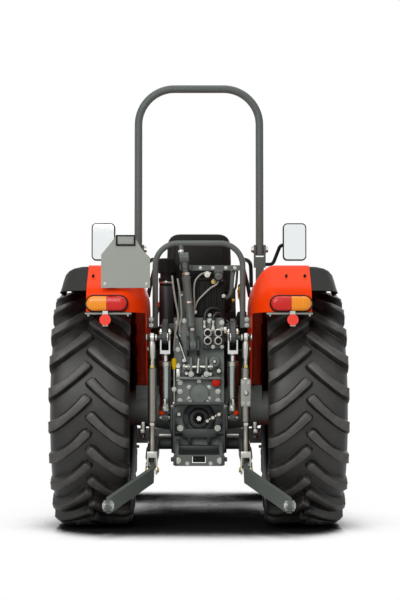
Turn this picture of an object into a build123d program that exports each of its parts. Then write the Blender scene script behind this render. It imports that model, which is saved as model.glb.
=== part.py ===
from build123d import *
import os
from math import atan2, cos, degrees, radians, sin, sqrt, tan

# Farm tractor: open driver's platform, folding roll-over hoop, three-point hitch.
# Frame: +Y forward, +X to the right, +Z up, origin on the ground below the middle of the box.
# Millimetres. Y is written from the rear axle and shifted by FRAME_SHIFT when a piece is saved.

# Gaps: between seated curved faces, round pins, and between a hub and its housing
SEAT_GAP = 0.3
PIN_GAP = 0.4
HUB_GAP = 0.5

# Wheels and axles
REAR_TYRE_DIA = 1340.0
REAR_AXLE_Z = REAR_TYRE_DIA / 2
REAR_TYRE_WIDTH = 430.0
REAR_RIM_DIA = 711.0
REAR_TRACK = 1180.0
FRONT_TYRE_DIA = 870.0
FRONT_AXLE_Z = FRONT_TYRE_DIA / 2
FRONT_TYRE_WIDTH = 290.0
FRONT_RIM_DIA = 457.0
FRONT_TRACK = 1200.0
WHEELBASE = 2150.0
KINGPIN_SPACING = 1000.0
BEAD_SHARE = 0.76
TREAD_SHARE = 0.93
SHOULDER_SHARE = 0.06
REAR_LUG_DEPTH = 42.0
REAR_LUG_WIDTH = 46.0
REAR_LUGS = 22
FRONT_LUG_DEPTH = 30.0
FRONT_LUG_WIDTH = 33.0
FRONT_LUGS = 18
LUG_FIRST = 6.4
LUG_NOSE = 8.0
LUG_SWEEP = 1.16
LUG_BEND = 0.31
RIM_WALL = 14.0
REAR_DISC_FACE = 20.0
REAR_DISC_RIM = 60.0
REAR_BOSS_REACH = 70.0
FRONT_DISC_FACE = 46.0
FRONT_DISC_RIM = 30.0
FRONT_BOSS_REACH = 80.0
RIM_LIP = 22.0
REAR_HUB_RADIUS = 95.0
REAR_HUB_INSET = 60.0
REAR_SHAFT_RADIUS = 42.0
REAR_SHAFT_DEPTH = 80.0
FRONT_HUB_RADIUS = 68.0
FRONT_HUB_INSET = 34.0
SPINDLE_RADIUS = 30.0
SPINDLE_DEPTH = 60.0
KINGPIN_RADIUS = 18.0
KINGPIN_BOSS_RADIUS = 40.0
KINGPIN_BOSS_HEIGHT = 124.0
YOKE_PLATE = 20.0
YOKE_WIDTH = 80.0
STEERING_ARM = 150.0
STEERING_BARREL = 190.0
STEERING_BARREL_RADIUS = 32.0
STEERING_ROD = 280.0
STEERING_ROD_RADIUS = 14.0

# Drive line
HOUSING_HALF_WIDTH = 140.0
HOUSING_REAR = -240.0
HOUSING_FRONT = 550.0
HOUSING_LOW = REAR_AXLE_Z - 270.0
HOUSING_TOP = REAR_AXLE_Z + 260.0
TRUMPET_ROOT_RADIUS = 125.0
TRUMPET_END_RADIUS = 85.0
TRUMPET_FLANGE = 26.0
FENDER_PAD_HALF = 90.0
CLUTCH_FRONT = 950.0
CLUTCH_TOP = REAR_AXLE_Z + 190.0
ENGINE_FRONT = WHEELBASE - 430.0
ENGINE_TOP = REAR_AXLE_Z + 460.0
ENGINE_LOW = REAR_AXLE_Z - 200.0
ENGINE_HALF_WIDTH = 130.0
STARTER_RADIUS = 46.0
STARTER_LENGTH = 210.0
FILTER_RADIUS = 44.0
FILTER_LENGTH = 150.0
ALTERNATOR_RADIUS = 62.0
ALTERNATOR_LENGTH = 120.0
MUFFLER_RADIUS = 38.0
MUFFLER_LENGTH = 340.0
MUFFLER_PIPE_RADIUS = 26.0
FRAME_FRONT = WHEELBASE + 450.0
FRAME_LOW = FRONT_AXLE_Z + 145.0
FRAME_TOP = FRONT_AXLE_Z + 355.0
FRAME_RAIL = 40.0
WEIGHT_BRACKET_HALF = 210.0
WEIGHT_BRACKET_FRONT = WHEELBASE + 600.0
BEAM_HALF_DEPTH = 45.0
BEAM_HALF_HEIGHT = 52.0
DIFF_X = 90.0
DIFF_RADIUS = 92.0
DIFF_DEPTH = 130.0
RADIATOR_HALF = 170.0
RADIATOR_DEPTH = 70.0
RADIATOR_TANK = 40.0
FAN_SHROUD_RADIUS = 150.0

# Hood and cowl
HOOD_REAR = 1180.0
HOOD_FRONT = WHEELBASE + 470.0
HOOD_LOW = REAR_AXLE_Z + 230.0
HOOD_TOP_REAR = REAR_AXLE_Z + 750.0
HOOD_TOP_FRONT = REAR_AXLE_Z + 660.0
HOOD_HALF_REAR = 255.0
HOOD_HALF_FRONT = 215.0
HOOD_WALL = 5.0
HOOD_CORNER = 80.0
COWL_REAR = 985.0
COWL_HALF = 235.0
COWL_TOP = REAR_AXLE_Z + 745.0
COWL_GAP = 18.0
HOOD_PIVOT_INSET = 12.0
HOOD_PIVOT_DROP = 16.0
HOOD_PIN_X = 100.0
HOOD_PIN_RADIUS = 5.0
GRILLE_HALF_WIDTH = 150.0
GRILLE_LOW = REAR_AXLE_Z + 280.0
GRILLE_HIGH = REAR_AXLE_Z + 490.0
GRILLE_SLATS = 7
GRILLE_RIM = 14.0
GRILLE_DEPTH = 12.0
HEAD_LAMP_INNER = 45.0
HEAD_LAMP_OUTER = 165.0
HEAD_LAMP_HALF = 26.0
HEAD_LAMP_DEPTH = 18.0

# Driver's place
DECK_TOP = REAR_AXLE_Z + 130.0
DECK_THICK = 25.0
DECK_REAR = 200.0
DECK_TYRE_GAP = 15.0
DECK_HALF_REAR = REAR_TRACK / 2 - REAR_TYRE_WIDTH / 2 - DECK_TYRE_GAP
DECK_HALF_FRONT = 560.0
DECK_STEP_START = 715.0
STEP_HEIGHT = REAR_AXLE_Z - 220.0
SEAT_BACK_Y = 0.0
SEAT_TOP = REAR_AXLE_Z + 1006.0
SEAT_CUSHION_TOP = REAR_AXLE_Z + 520.0
SEAT_HALF_WIDTH = 215.0
SEAT_CUSHION_DEPTH = 110.0
SEAT_BACK_DEPTH = 85.0
SEAT_STAY_X = 80.0
SEAT_STAY_WIDTH = 40.0
SEAT_STAY_RISE = 260.0
SEAT_PAN = 30.0
STEERING_WHEEL_RADIUS = 185.0
STEERING_GRIP_RADIUS = 14.0
STEERING_SPOKE_WIDTH = 26.0
COLUMN_RADIUS = 32.0
STEERING_HUB_Y = 700.0
STEERING_HUB_Z = REAR_AXLE_Z + 750.0
COLUMN_FOOT_Y = 1000.0
COLUMN_FOOT_Z = REAR_AXLE_Z + 500.0

# Fenders
FENDER_WALL = 5.0
FENDER_INNER = 288.0
FENDER_OUTER = REAR_TRACK / 2 + 10.0
FENDER_TOP = REAR_AXLE_Z + 786.0
FENDER_FRONT = REAR_TYRE_DIA / 2 + 45.0
FENDER_TAIL = -REAR_TYRE_DIA / 2 - 20.0
FENDER_TAIL_LOW = REAR_AXLE_Z + 520.0
SHOULDER_WIDTH = 128.0
FENDER_SLOPE_RUN = 200.0
FENDER_SLOPE_DROP = 150.0
SHOULDER_DROP = 216.0
EXTENSION_OUTER = REAR_TRACK / 2 + 160.0
EXTENSION_DROP = 39.0
EXTENSION_LIP = REAR_AXLE_Z + 600.0
EXTENSION_WHEEL_GAP = 25.0

# Rear lamps, reflectors and the blank sign plate
LAMP_INNER = 382.0
LAMP_OUTER = 598.0
LAMP_LOW = REAR_AXLE_Z + 525.0
LAMP_HIGH = REAR_AXLE_Z + 605.0
LAMP_DEPTH = 38.0
REFLECTOR_X = 497.0
REFLECTOR_Z = REAR_AXLE_Z + 478.0
REFLECTOR_RADIUS = 30.0
SIGN_LEFT = -520.0
SIGN_RIGHT = -260.0
SIGN_LOW = REAR_AXLE_Z + 648.0
SIGN_HIGH = REAR_AXLE_Z + 930.0
SIGN_THICK = 3.0
SIGN_CUT = 80.0
SIGN_STAND = 12.0
SIGN_BRACKET_RISE = 36.0
SIGN_BRACKET_HEIGHT = 26.0
SIGN_BRACKET_WIDTH = 50.0

# Roll-over hoop and mirrors
ROPS_Y = 750.0
ROPS_X = 379.0
ROPS_TUBE = 50.0
ROPS_TOP = REAR_AXLE_Z + 2008.0
ROPS_HINGE_Z = REAR_AXLE_Z + 970.0
ROPS_CORNER = 225.0
ROPS_EAR = 12.0
ROPS_PIN_RADIUS = 11.0
MIRROR_INNER = 521.0
MIRROR_WIDTH = 146.0
MIRROR_LOW = REAR_AXLE_Z + 900.0
MIRROR_HEIGHT = 232.0
MIRROR_ARM_RADIUS = 11.0
MIRROR_DEPTH = 40.0
MIRROR_RIM = 7.0

# Rear arch
ARCH_X = 244.0
ARCH_Y = -275.0
ARCH_TOP = REAR_AXLE_Z + 922.0
ARCH_FOOT = REAR_AXLE_Z + 450.0
ARCH_TUBE = 16.0
ARCH_CORNER = 125.0
ARCH_PLATE = 6.0
ARCH_PLATE_LOW = REAR_AXLE_Z + 770.0
ARCH_PLATE_HEIGHT = 30.0
CLIP_GAP = 50.0
CLIP_THICK = 5.0
SOCKET_X = 109.0
SOCKET_Z = REAR_AXLE_Z + 735.0
SOCKET_RADIUS = 23.0
SOCKET_DEPTH = 37.0

# Fuel tank and its filler
TANK_REAR = -95.0
TANK_FRONT = 300.0
TANK_TOP = REAR_AXLE_Z + 330.0
FILLER_X = -187.0
FILLER_Y = -55.0
FILLER_TOP = REAR_AXLE_Z + 730.0
FILLER_RADIUS = 40.0
FILLER_CAP_HEIGHT = 80.0

# Three-point hitch
LINK_PIVOT_Y = -100.0
LINK_PIVOT_Z = REAR_AXLE_Z - 200.0
LINK_PIVOT_X = 235.0
LINK_THICK = 22.0
LINK_HEIGHT = 75.0
LINK_ROD_Y = -450.0
LINK_ROD_Z = REAR_AXLE_Z - 330.0
LINK_ROD_X = 255.0
LINK_BALL_Y = -850.0
LINK_BALL_Z = REAR_AXLE_Z - 490.0
LINK_BALL_X = 470.0
LINK_BALL_BORE = 14.35
LINK_BALL_RADIUS = 30.0
LINK_BALL_LENGTH = 45.0
LINK_PIN_RADIUS = 14.0
ROCKSHAFT_Y = -190.0
ROCKSHAFT_Z = REAR_AXLE_Z + 450.0
ROCKSHAFT_RADIUS = 28.0
LIFT_ARM_INNER = 174.0
LIFT_ARM_THICK = 28.0
LIFT_ARM_Y = -470.0
LIFT_ARM_Z = REAR_AXLE_Z + 390.0
LIFT_PIN_RADIUS = 12.0
LIFT_ROD_RADIUS = 17.0
LIFT_FORK_GAP = 8.0
LEVEL_BOX_DROP = 300.0
LEVEL_BOX_WIDTH = 54.0
LEVEL_BOX_HEIGHT = 150.0
CYLINDER_Y = -270.0
CYLINDER_Z = REAR_AXLE_Z - 50.0
CYLINDER_RADIUS = 30.0
CYLINDER_ROD_RADIUS = 16.0
CYLINDER_EYE_REACH = 120.0
CLEVIS_DEPTH = 100.0
TOP_LINK_X = -33.0
TOP_LINK_Y = -330.0
TOP_LINK_Z = REAR_AXLE_Z + 350.0
TOP_LINK_LENGTH = 490.0
TOP_LINK_LEAN = 5.8
TOP_LINK_REST = 1.5
TOP_LINK_EYE = 51.0
TOP_LINK_BORE = 12.85
TOP_LINK_PIN_RADIUS = 12.0
TOP_LINK_EAR_GAP = 44.0
TOP_LINK_EAR = 14.0
TOP_LINK_ROD_RADIUS = 14.0
TOP_LINK_TUBE_RADIUS = 19.0
TOP_LINK_BALL_RADIUS = 30.0
COUPLER_LEFT = 22.0
COUPLER_RIGHT = 136.0
COUPLER_HEIGHT = 115.0
COUPLER_CAP_RADIUS = 19.0
PTO_Z = REAR_AXLE_Z - 54.0
PTO_RADIUS = 17.45
PTO_LENGTH = 70.0
PTO_NECK = 6.0
PTO_NECK_RADIUS = 15.0
PTO_NECK_DEPTH = 38.0
PTO_COVER_RISE = 142.0
PTO_COVER_RADIUS = 52.0
PTO_PLATE_HALF = 120.0
PTO_PLATE_LOW = 84.0
PTO_PLATE_HIGH = 214.0
GUARD_HALF = 150.0
GUARD_REACH = 150.0
GUARD_DROP = 86.0
GUARD_RISE = 84.0
GUARD_TUBE_RADIUS = 10.0
DRAWBAR_REAR = -650.0
DRAWBAR_LOW = REAR_AXLE_Z - 297.0
DRAWBAR_HIGH = REAR_AXLE_Z - 238.0
DRAWBAR_HALF = 128.0
DRAWBAR_PLATE = 18.0
DRAWBAR_WINDOW = 36.0

CYLINDER_X = LIFT_ARM_INNER + LIFT_ARM_THICK / 2
LINK_REACH = -LINK_BALL_Y + LINK_BALL_RADIUS
FRAME_SHIFT = (LINK_REACH - WEIGHT_BRACKET_FRONT) / 2


def block(x0, x1, y0, y1, z0, z1):
    """Box between two corners."""
    middle = Pos((x0 + x1) / 2, (y0 + y1) / 2, (z0 + z1) / 2)
    return middle * Box(x1 - x0, y1 - y0, z1 - z0)


def rod(start, end, radius):
    """Round bar from one point to another."""
    axis = Vector(*end) - Vector(*start)
    foot = Plane(origin=start, z_dir=axis)
    return extrude(foot * Circle(radius), amount=axis.length)


def side_plate(points, x0, x1, radius=0.0):
    """Outline given as (y, z) points, spread from x0 to x1, with its corners rounded."""
    face = Polygon(*points, align=None)
    if radius:
        face = fillet(face.vertices(), radius)
    return extrude(Plane.YZ.offset(x0) * face, amount=x1 - x0, dir=(1, 0, 0))


def rear_plate(points, y0, y1, radius=0.0):
    """Outline given as (x, z) points, spread from y0 to y1, with its corners rounded."""
    face = Polygon(*points, align=None)
    if radius:
        face = fillet(face.vertices(), radius)
    front = Plane(origin=(0, y0, 0), x_dir=(1, 0, 0), z_dir=(0, -1, 0))
    return extrude(front * face, amount=y1 - y0, dir=(0, 1, 0))


def tube_along(points, corner, radius):
    """Bent round tube through the points."""
    path = FilletPolyline(*points, radius=corner)
    section = Plane(origin=path @ 0, z_dir=path % 0) * Circle(radius)
    return sweep(section, path=path)


def mirrored(shape):
    """The same piece on the left side."""
    return mirror(shape, about=Plane.YZ)


def save(name, *solids):
    """Shift the solids from the rear axle to the part's origin and write one file."""
    placed = [Pos(0, FRAME_SHIFT, 0) * solid for solid in solids]
    shape = placed[0] if len(placed) == 1 else Compound(children=placed)
    export_step(shape, f"parts/{name}.step")


def save_pair(name, right_solid):
    """Write a right-hand piece and its mirror image as two files."""
    save(f"{name}_right", right_solid)
    save(f"{name}_left", mirrored(right_solid))


def tyre(dia, width, rim_dia, lug_depth, lug_count, lug_width):
    """Tyre about the X axis: bead on the rim, side walls in flats, and bar lugs fused to the tread."""
    outer = dia / 2
    root = outer - lug_depth
    half = width / 2
    bead = rim_dia / 2 + SEAT_GAP
    bead_half = half * BEAD_SHARE
    tread_half = half * TREAD_SHARE
    shoulder = root - width * SHOULDER_SHARE
    heel = bead + RIM_LIP + SEAT_GAP
    wall = shoulder - heel
    right = [
        (bead_half, bead), (bead_half, heel), (half * 0.93, heel + wall * 0.22), (half, heel + wall * 0.5),
        (half, heel + wall * 0.66), (tread_half, shoulder), (tread_half * 0.6, root - width * 0.01),
    ]
    left = [(-x, r) for x, r in reversed(right)]
    carcass = revolve(Polygon(*right, *left, align=None), Axis.X)
    crown = outer - width * SHOULDER_SHARE / 2
    low = heel + wall * 0.6
    right_tip = [
        (half * 0.9, low), (half, low + lug_depth / 2), (tread_half, crown), (tread_half * 0.5, outer),
    ]
    left_tip = [(-x, r) for x, r in reversed(right_tip)]
    tip_form = revolve(Polygon(*right_tip, *left_tip, align=None), Axis.X)
    lugs = []
    for i in range(2 * lug_count):
        side = 1 if i % 2 == 0 else -1
        lead = []
        trail = []
        for share, wide in ((LUG_NOSE / half, 1.0), (0.45, 0.9), (0.99, 1.2)):
            swept = half * (LUG_SWEEP * share - LUG_BEND * share * share)
            slope = LUG_SWEEP - 2 * LUG_BEND * share
            edge = lug_width * wide / 2 / sqrt(1 + slope * slope)
            lead.append((side * (share * half + slope * edge), edge - swept))
            trail.append((side * (share * half - slope * edge), -edge - swept))
        outline = Polygon(*lead, *reversed(trail), align=None)
        bar = extrude(Plane.XY.offset(low) * outline, amount=outer - low + lug_depth, dir=(0, 0, 1))
        lugs.append(Rot(90 - LUG_FIRST - 180.0 * i / lug_count, 0, 0) * bar & tip_form)
    return carcass + lugs


def rim_barrel(width, rim_dia):
    """Rim about the X axis: a drop centre between two flanges that hold the beads."""
    seat = rim_dia / 2
    half = width / 2 * BEAD_SHARE + SEAT_GAP
    lip = RIM_LIP
    drop = RIM_WALL * 1.8
    well = half * 0.45
    outline = [
        (-half - RIM_WALL, seat + lip), (-half, seat + lip), (-half, seat),
        (-well * 1.3, seat), (-well, seat - drop), (well, seat - drop), (well * 1.3, seat),
        (half, seat), (half, seat + lip), (half + RIM_WALL, seat + lip),
        (half + RIM_WALL, seat - RIM_WALL), (well * 1.5, seat - RIM_WALL),
        (well * 1.2, seat - drop - RIM_WALL), (-well * 1.2, seat - drop - RIM_WALL),
        (-well * 1.5, seat - RIM_WALL), (-half - RIM_WALL, seat - RIM_WALL),
    ]
    return revolve(Polygon(*outline, align=None), Axis.X)


def wheel_disc(rim_dia, hub_radius, hub_inset, face_x, rim_x):
    """Dished disc from the rim well to a flat hub face, with the hub behind it."""
    rim_radius = rim_dia / 2 - RIM_WALL * 2.6
    flat = hub_radius * 1.7
    outline = [
        (-hub_inset, 0), (-hub_inset, hub_radius), (face_x - RIM_WALL, hub_radius),
        (face_x - RIM_WALL, flat), (rim_x - RIM_WALL, rim_radius), (rim_x, rim_radius + RIM_WALL / 2),
        (face_x, flat), (face_x, 0),
    ]
    return revolve(Polygon(*outline, align=None), Axis.X)


def wheels():
    rear_place = Pos(REAR_TRACK / 2, 0, REAR_AXLE_Z)
    save_pair("rear_tyre", rear_place * tyre(
        REAR_TYRE_DIA, REAR_TYRE_WIDTH, REAR_RIM_DIA, REAR_LUG_DEPTH, REAR_LUGS, REAR_LUG_WIDTH))
    rear = rim_barrel(REAR_TYRE_WIDTH, REAR_RIM_DIA)
    rear += wheel_disc(REAR_RIM_DIA, REAR_HUB_RADIUS, REAR_HUB_INSET, REAR_DISC_FACE, REAR_DISC_RIM)
    rear += rod((-REAR_HUB_INSET - REAR_SHAFT_DEPTH, 0, 0), (0, 0, 0), REAR_SHAFT_RADIUS)
    rear += rod((0, 0, 0), (REAR_BOSS_REACH, 0, 0), REAR_HUB_RADIUS * 0.62)
    save_pair("rear_rim", rear_place * rear)

    front_place = Pos(FRONT_TRACK / 2, WHEELBASE, FRONT_AXLE_Z)
    save_pair("front_tyre", front_place * tyre(
        FRONT_TYRE_DIA, FRONT_TYRE_WIDTH, FRONT_RIM_DIA, FRONT_LUG_DEPTH, FRONT_LUGS, FRONT_LUG_WIDTH))
    front = rim_barrel(FRONT_TYRE_WIDTH, FRONT_RIM_DIA)
    front += wheel_disc(
        FRONT_RIM_DIA, FRONT_HUB_RADIUS, FRONT_HUB_INSET, FRONT_DISC_FACE, FRONT_DISC_RIM)
    front += rod((0, 0, 0), (FRONT_BOSS_REACH, 0, 0), FRONT_HUB_RADIUS * 0.7)
    bore_end = SPINDLE_DEPTH - FRONT_HUB_INSET + HUB_GAP
    front -= rod((-FRONT_HUB_INSET - 1, 0, 0), (bore_end, 0, 0), SPINDLE_RADIUS + PIN_GAP)
    save_pair("front_rim", front_place * front)


def rear_axle():
    """Cast trumpets with a bolt flange, a fender pad on top and a bore for the half shaft."""
    end = REAR_TRACK / 2 - REAR_HUB_INSET - HUB_GAP
    root = HOUSING_HALF_WIDTH
    outline = [
        (root, 0), (root, TRUMPET_ROOT_RADIUS + 4), (root + TRUMPET_FLANGE, TRUMPET_ROOT_RADIUS + 4),
        (root + TRUMPET_FLANGE, TRUMPET_ROOT_RADIUS), (end - 60, TRUMPET_END_RADIUS),
        (end, TRUMPET_END_RADIUS + 14), (end, 0),
    ]
    trumpet = Pos(0, 0, REAR_AXLE_Z) * revolve(Polygon(*outline, align=None), Axis.X)
    trumpet += block(FENDER_INNER - 60, FENDER_INNER + 70, -FENDER_PAD_HALF, FENDER_PAD_HALF,
                     REAR_AXLE_Z, DECK_TOP)
    bore_start = (end - REAR_SHAFT_DEPTH, 0, REAR_AXLE_Z)
    trumpet -= rod(bore_start, (end + 1, 0, REAR_AXLE_Z), REAR_SHAFT_RADIUS + PIN_GAP)
    save("rear_axle_housings", trumpet, mirrored(trumpet))


def front_axle():
    """Drive beam with a centre pivot, a differential bulge and a bored boss at each end."""
    half = KINGPIN_SPACING / 2
    z = FRONT_AXLE_Z
    beam = block(-half, half, WHEELBASE - BEAM_HALF_DEPTH, WHEELBASE + BEAM_HALF_DEPTH,
                 z - BEAM_HALF_HEIGHT, z + BEAM_HALF_HEIGHT)
    drum_rear = WHEELBASE - BEAM_HALF_DEPTH + 5
    beam += rod((DIFF_X, drum_rear, z), (DIFF_X, drum_rear + DIFF_DEPTH, z), DIFF_RADIUS)
    beam += rod((DIFF_X, drum_rear, z), (DIFF_X, drum_rear + DIFF_DEPTH + 30, z), DIFF_RADIUS - 35)
    boss_z = z - KINGPIN_BOSS_HEIGHT / 2
    for x in (-half, half):
        beam += rod((x, WHEELBASE, boss_z), (x, WHEELBASE, boss_z + KINGPIN_BOSS_HEIGHT),
                    KINGPIN_BOSS_RADIUS)
    for x in (-half, half):
        beam -= rod((x, WHEELBASE, boss_z - 1), (x, WHEELBASE, boss_z + KINGPIN_BOSS_HEIGHT + 1),
                    KINGPIN_RADIUS + PIN_GAP)
    beam += block(-60, 60, WHEELBASE - 50, WHEELBASE + 50, z, FRAME_LOW)
    save("front_axle", beam)

    cylinder_y = WHEELBASE - BEAM_HALF_DEPTH - 45
    cylinder = rod((-STEERING_BARREL, cylinder_y, z), (STEERING_BARREL, cylinder_y, z),
                   STEERING_BARREL_RADIUS)
    cylinder += rod((-STEERING_ROD, cylinder_y, z), (STEERING_ROD, cylinder_y, z), STEERING_ROD_RADIUS)
    for foot in (-150, -105):
        cylinder += block(foot, foot + 30, cylinder_y, WHEELBASE - BEAM_HALF_DEPTH, z - 25, z + 25)
    save("steering_cylinder", cylinder)


def knuckles():
    """Yoke over the axle's boss, with its kingpin, the wheel's spindle and a steering arm."""
    x = KINGPIN_SPACING / 2
    y = WHEELBASE
    z = FRONT_AXLE_Z
    yoke_half = KINGPIN_BOSS_HEIGHT / 2 + PIN_GAP
    plate_top = yoke_half + YOKE_PLATE
    web_x = x + KINGPIN_BOSS_RADIUS + 6
    hub_x = FRONT_TRACK / 2 - FRONT_HUB_INSET - HUB_GAP
    yoke = block(web_x, hub_x, y - YOKE_WIDTH / 2, y + YOKE_WIDTH / 2, z - plate_top, z + plate_top)
    for low in (-plate_top, yoke_half):
        yoke += block(x, hub_x, y - YOKE_WIDTH / 2, y + YOKE_WIDTH / 2, z + low, z + low + YOKE_PLATE)
        yoke += rod((x, y, z + low), (x, y, z + low + YOKE_PLATE), YOKE_WIDTH / 2)
    yoke += rod((x, y, z - plate_top), (x, y, z + plate_top), KINGPIN_RADIUS)
    spindle_end = FRONT_TRACK / 2 - FRONT_HUB_INSET + SPINDLE_DEPTH - HUB_GAP
    yoke += rod((hub_x, y, z), (spindle_end, y, z), SPINDLE_RADIUS)
    arm = [(x - 12, y), (x + 30, y), (x - 40, y - STEERING_ARM), (x - 82, y - STEERING_ARM)]
    arm_face = Plane.XY.offset(z - plate_top) * Polygon(*arm, align=None)
    yoke += extrude(arm_face, amount=YOKE_PLATE, dir=(0, 0, 1))
    save_pair("knuckle", yoke)


def drive_line():
    """Castings bolted end to end: rear housing with the rockshaft case, clutch housing, engine."""
    half = HOUSING_HALF_WIDTH
    case_top = ROCKSHAFT_Z + ROCKSHAFT_RADIUS + 30
    case_rear = ROCKSHAFT_Y - ROCKSHAFT_RADIUS - 32
    case_front = ROCKSHAFT_Y + ROCKSHAFT_RADIUS + 32
    profile = [
        (HOUSING_REAR, HOUSING_LOW + 40), (HOUSING_REAR + 60, HOUSING_LOW),
        (HOUSING_FRONT, HOUSING_LOW + 30), (HOUSING_FRONT, CLUTCH_TOP),
        (HOUSING_FRONT - 120, HOUSING_TOP), (case_front + 30, HOUSING_TOP), (case_front, case_top),
        (case_rear, case_top), (case_rear, HOUSING_TOP - 60), (HOUSING_REAR, HOUSING_TOP - 90),
    ]
    housing = side_plate(profile, -half, half)
    housing -= rod((-half - 1, ROCKSHAFT_Y, ROCKSHAFT_Z), (half + 1, ROCKSHAFT_Y, ROCKSHAFT_Z),
                   ROCKSHAFT_RADIUS + PIN_GAP)
    pto_end = HOUSING_REAR + PTO_NECK_DEPTH
    housing -= rod((0, HOUSING_REAR - 1, PTO_Z), (0, pto_end, PTO_Z), PTO_NECK_RADIUS + PIN_GAP)
    cover_z = PTO_Z + PTO_COVER_RISE
    cover = rod((0, HOUSING_REAR - 14, cover_z), (0, HOUSING_REAR, cover_z), PTO_COVER_RADIUS)
    low = PTO_Z + PTO_PLATE_LOW
    high = PTO_Z + PTO_PLATE_HIGH
    wide = PTO_PLATE_HALF
    plate = [(-wide, low), (wide, low), (wide, high), (-wide, high)]
    housing += rear_plate(plate, HOUSING_REAR - 10, HOUSING_REAR, 18) + cover
    save("transmission_housing", housing)

    clutch = [
        (HOUSING_FRONT, HOUSING_LOW + 30), (CLUTCH_FRONT, ENGINE_LOW), (CLUTCH_FRONT, CLUTCH_TOP),
        (HOUSING_FRONT, CLUTCH_TOP),
    ]
    save("clutch_housing", side_plate(clutch, -half + 8, half - 8))

    engine = side_plate([
        (CLUTCH_FRONT, ENGINE_LOW + 60), (CLUTCH_FRONT + 140, ENGINE_LOW),
        (ENGINE_FRONT - 160, ENGINE_LOW), (ENGINE_FRONT, ENGINE_LOW + 120),
        (ENGINE_FRONT, ENGINE_TOP), (CLUTCH_FRONT, ENGINE_TOP),
    ], -ENGINE_HALF_WIDTH, ENGINE_HALF_WIDTH)
    side = ENGINE_HALF_WIDTH
    starter_y = CLUTCH_FRONT + 260
    starter_z = ENGINE_LOW + 190
    starter_end = starter_y + STARTER_LENGTH
    engine += rod((-side - 30, starter_y, starter_z), (-side - 30, starter_end, starter_z), STARTER_RADIUS)
    filter_y = starter_y + 330
    filter_low = starter_z - 40
    engine += rod((-side - 32, filter_y, filter_low), (-side - 32, filter_y, filter_low + FILTER_LENGTH),
                  FILTER_RADIUS)
    engine += block(side - 5, side + 55, starter_y, starter_y + 260, starter_z, starter_z + 130)
    alternator_y = ENGINE_FRONT - 90
    alternator_z = ENGINE_TOP - 170
    engine += rod((-side - 30, alternator_y - ALTERNATOR_LENGTH, alternator_z),
                  (-side - 30, alternator_y, alternator_z), ALTERNATOR_RADIUS)
    save("engine_block", engine)

    muffler_y = ENGINE_FRONT - 330
    muffler_x = half + 40
    muffler_z = ENGINE_TOP - 60
    reach = MUFFLER_LENGTH / 2
    exhaust = rod((muffler_x, muffler_y - reach, muffler_z), (muffler_x, muffler_y + reach, muffler_z),
                  MUFFLER_RADIUS)
    exhaust += rod((side, muffler_y, muffler_z), (muffler_x, muffler_y, muffler_z), MUFFLER_PIPE_RADIUS)
    save("exhaust", exhaust)


def front_frame():
    """Two cast rails ahead of the engine with cross members and the front weight bracket."""
    half = HOUSING_HALF_WIDTH
    frame = block(-half, half, ENGINE_FRONT, FRAME_FRONT, FRAME_LOW, FRAME_TOP)
    frame -= block(-half + FRAME_RAIL, half - FRAME_RAIL, ENGINE_FRONT + 60, WHEELBASE - 110,
                   FRAME_LOW - 1, FRAME_TOP + 1)
    frame -= block(-half + FRAME_RAIL, half - FRAME_RAIL, WHEELBASE + 110, FRAME_FRONT - 60,
                   FRAME_LOW - 1, FRAME_TOP + 1)
    wide = WEIGHT_BRACKET_HALF
    bracket = block(-wide, wide, FRAME_FRONT, WEIGHT_BRACKET_FRONT - 60, FRAME_LOW + 10, FRAME_LOW + 50)
    bracket += block(-wide, wide, WEIGHT_BRACKET_FRONT - 60, WEIGHT_BRACKET_FRONT, FRAME_LOW + 10,
                     FRAME_TOP - 40)
    for x in (-half, half - FRAME_RAIL):
        bracket += side_plate([
            (FRAME_FRONT, FRAME_LOW + 10), (WEIGHT_BRACKET_FRONT - 60, FRAME_LOW + 10),
            (WEIGHT_BRACKET_FRONT - 60, FRAME_LOW + 90), (FRAME_FRONT, FRAME_TOP),
        ], x, x + FRAME_RAIL)
    save("front_frame", frame + bracket)

    core_y = WHEELBASE + 190
    core_front = core_y + RADIATOR_DEPTH
    wide = RADIATOR_HALF + 15
    core = block(-RADIATOR_HALF, RADIATOR_HALF, core_y, core_front, FRAME_TOP + RADIATOR_TANK,
                 HOOD_TOP_FRONT - 90)
    core += block(-wide, wide, core_y - 10, core_front + 10, FRAME_TOP, FRAME_TOP + RADIATOR_TANK)
    core += block(-wide, wide, core_y - 10, core_front + 10, HOOD_TOP_FRONT - 90, HOOD_TOP_FRONT - 60)
    core += Pos(0, core_y - 40, FRAME_TOP + 230) * Rot(90, 0, 0) * (
        Cylinder(FAN_SHROUD_RADIUS, 60) - Cylinder(FAN_SHROUD_RADIUS - 10, 60))
    for x in (-150, 135):
        core += block(x, x + 15, core_y - 70, core_y, FRAME_TOP + 200, FRAME_TOP + 260)
    save("radiator", core)


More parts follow.
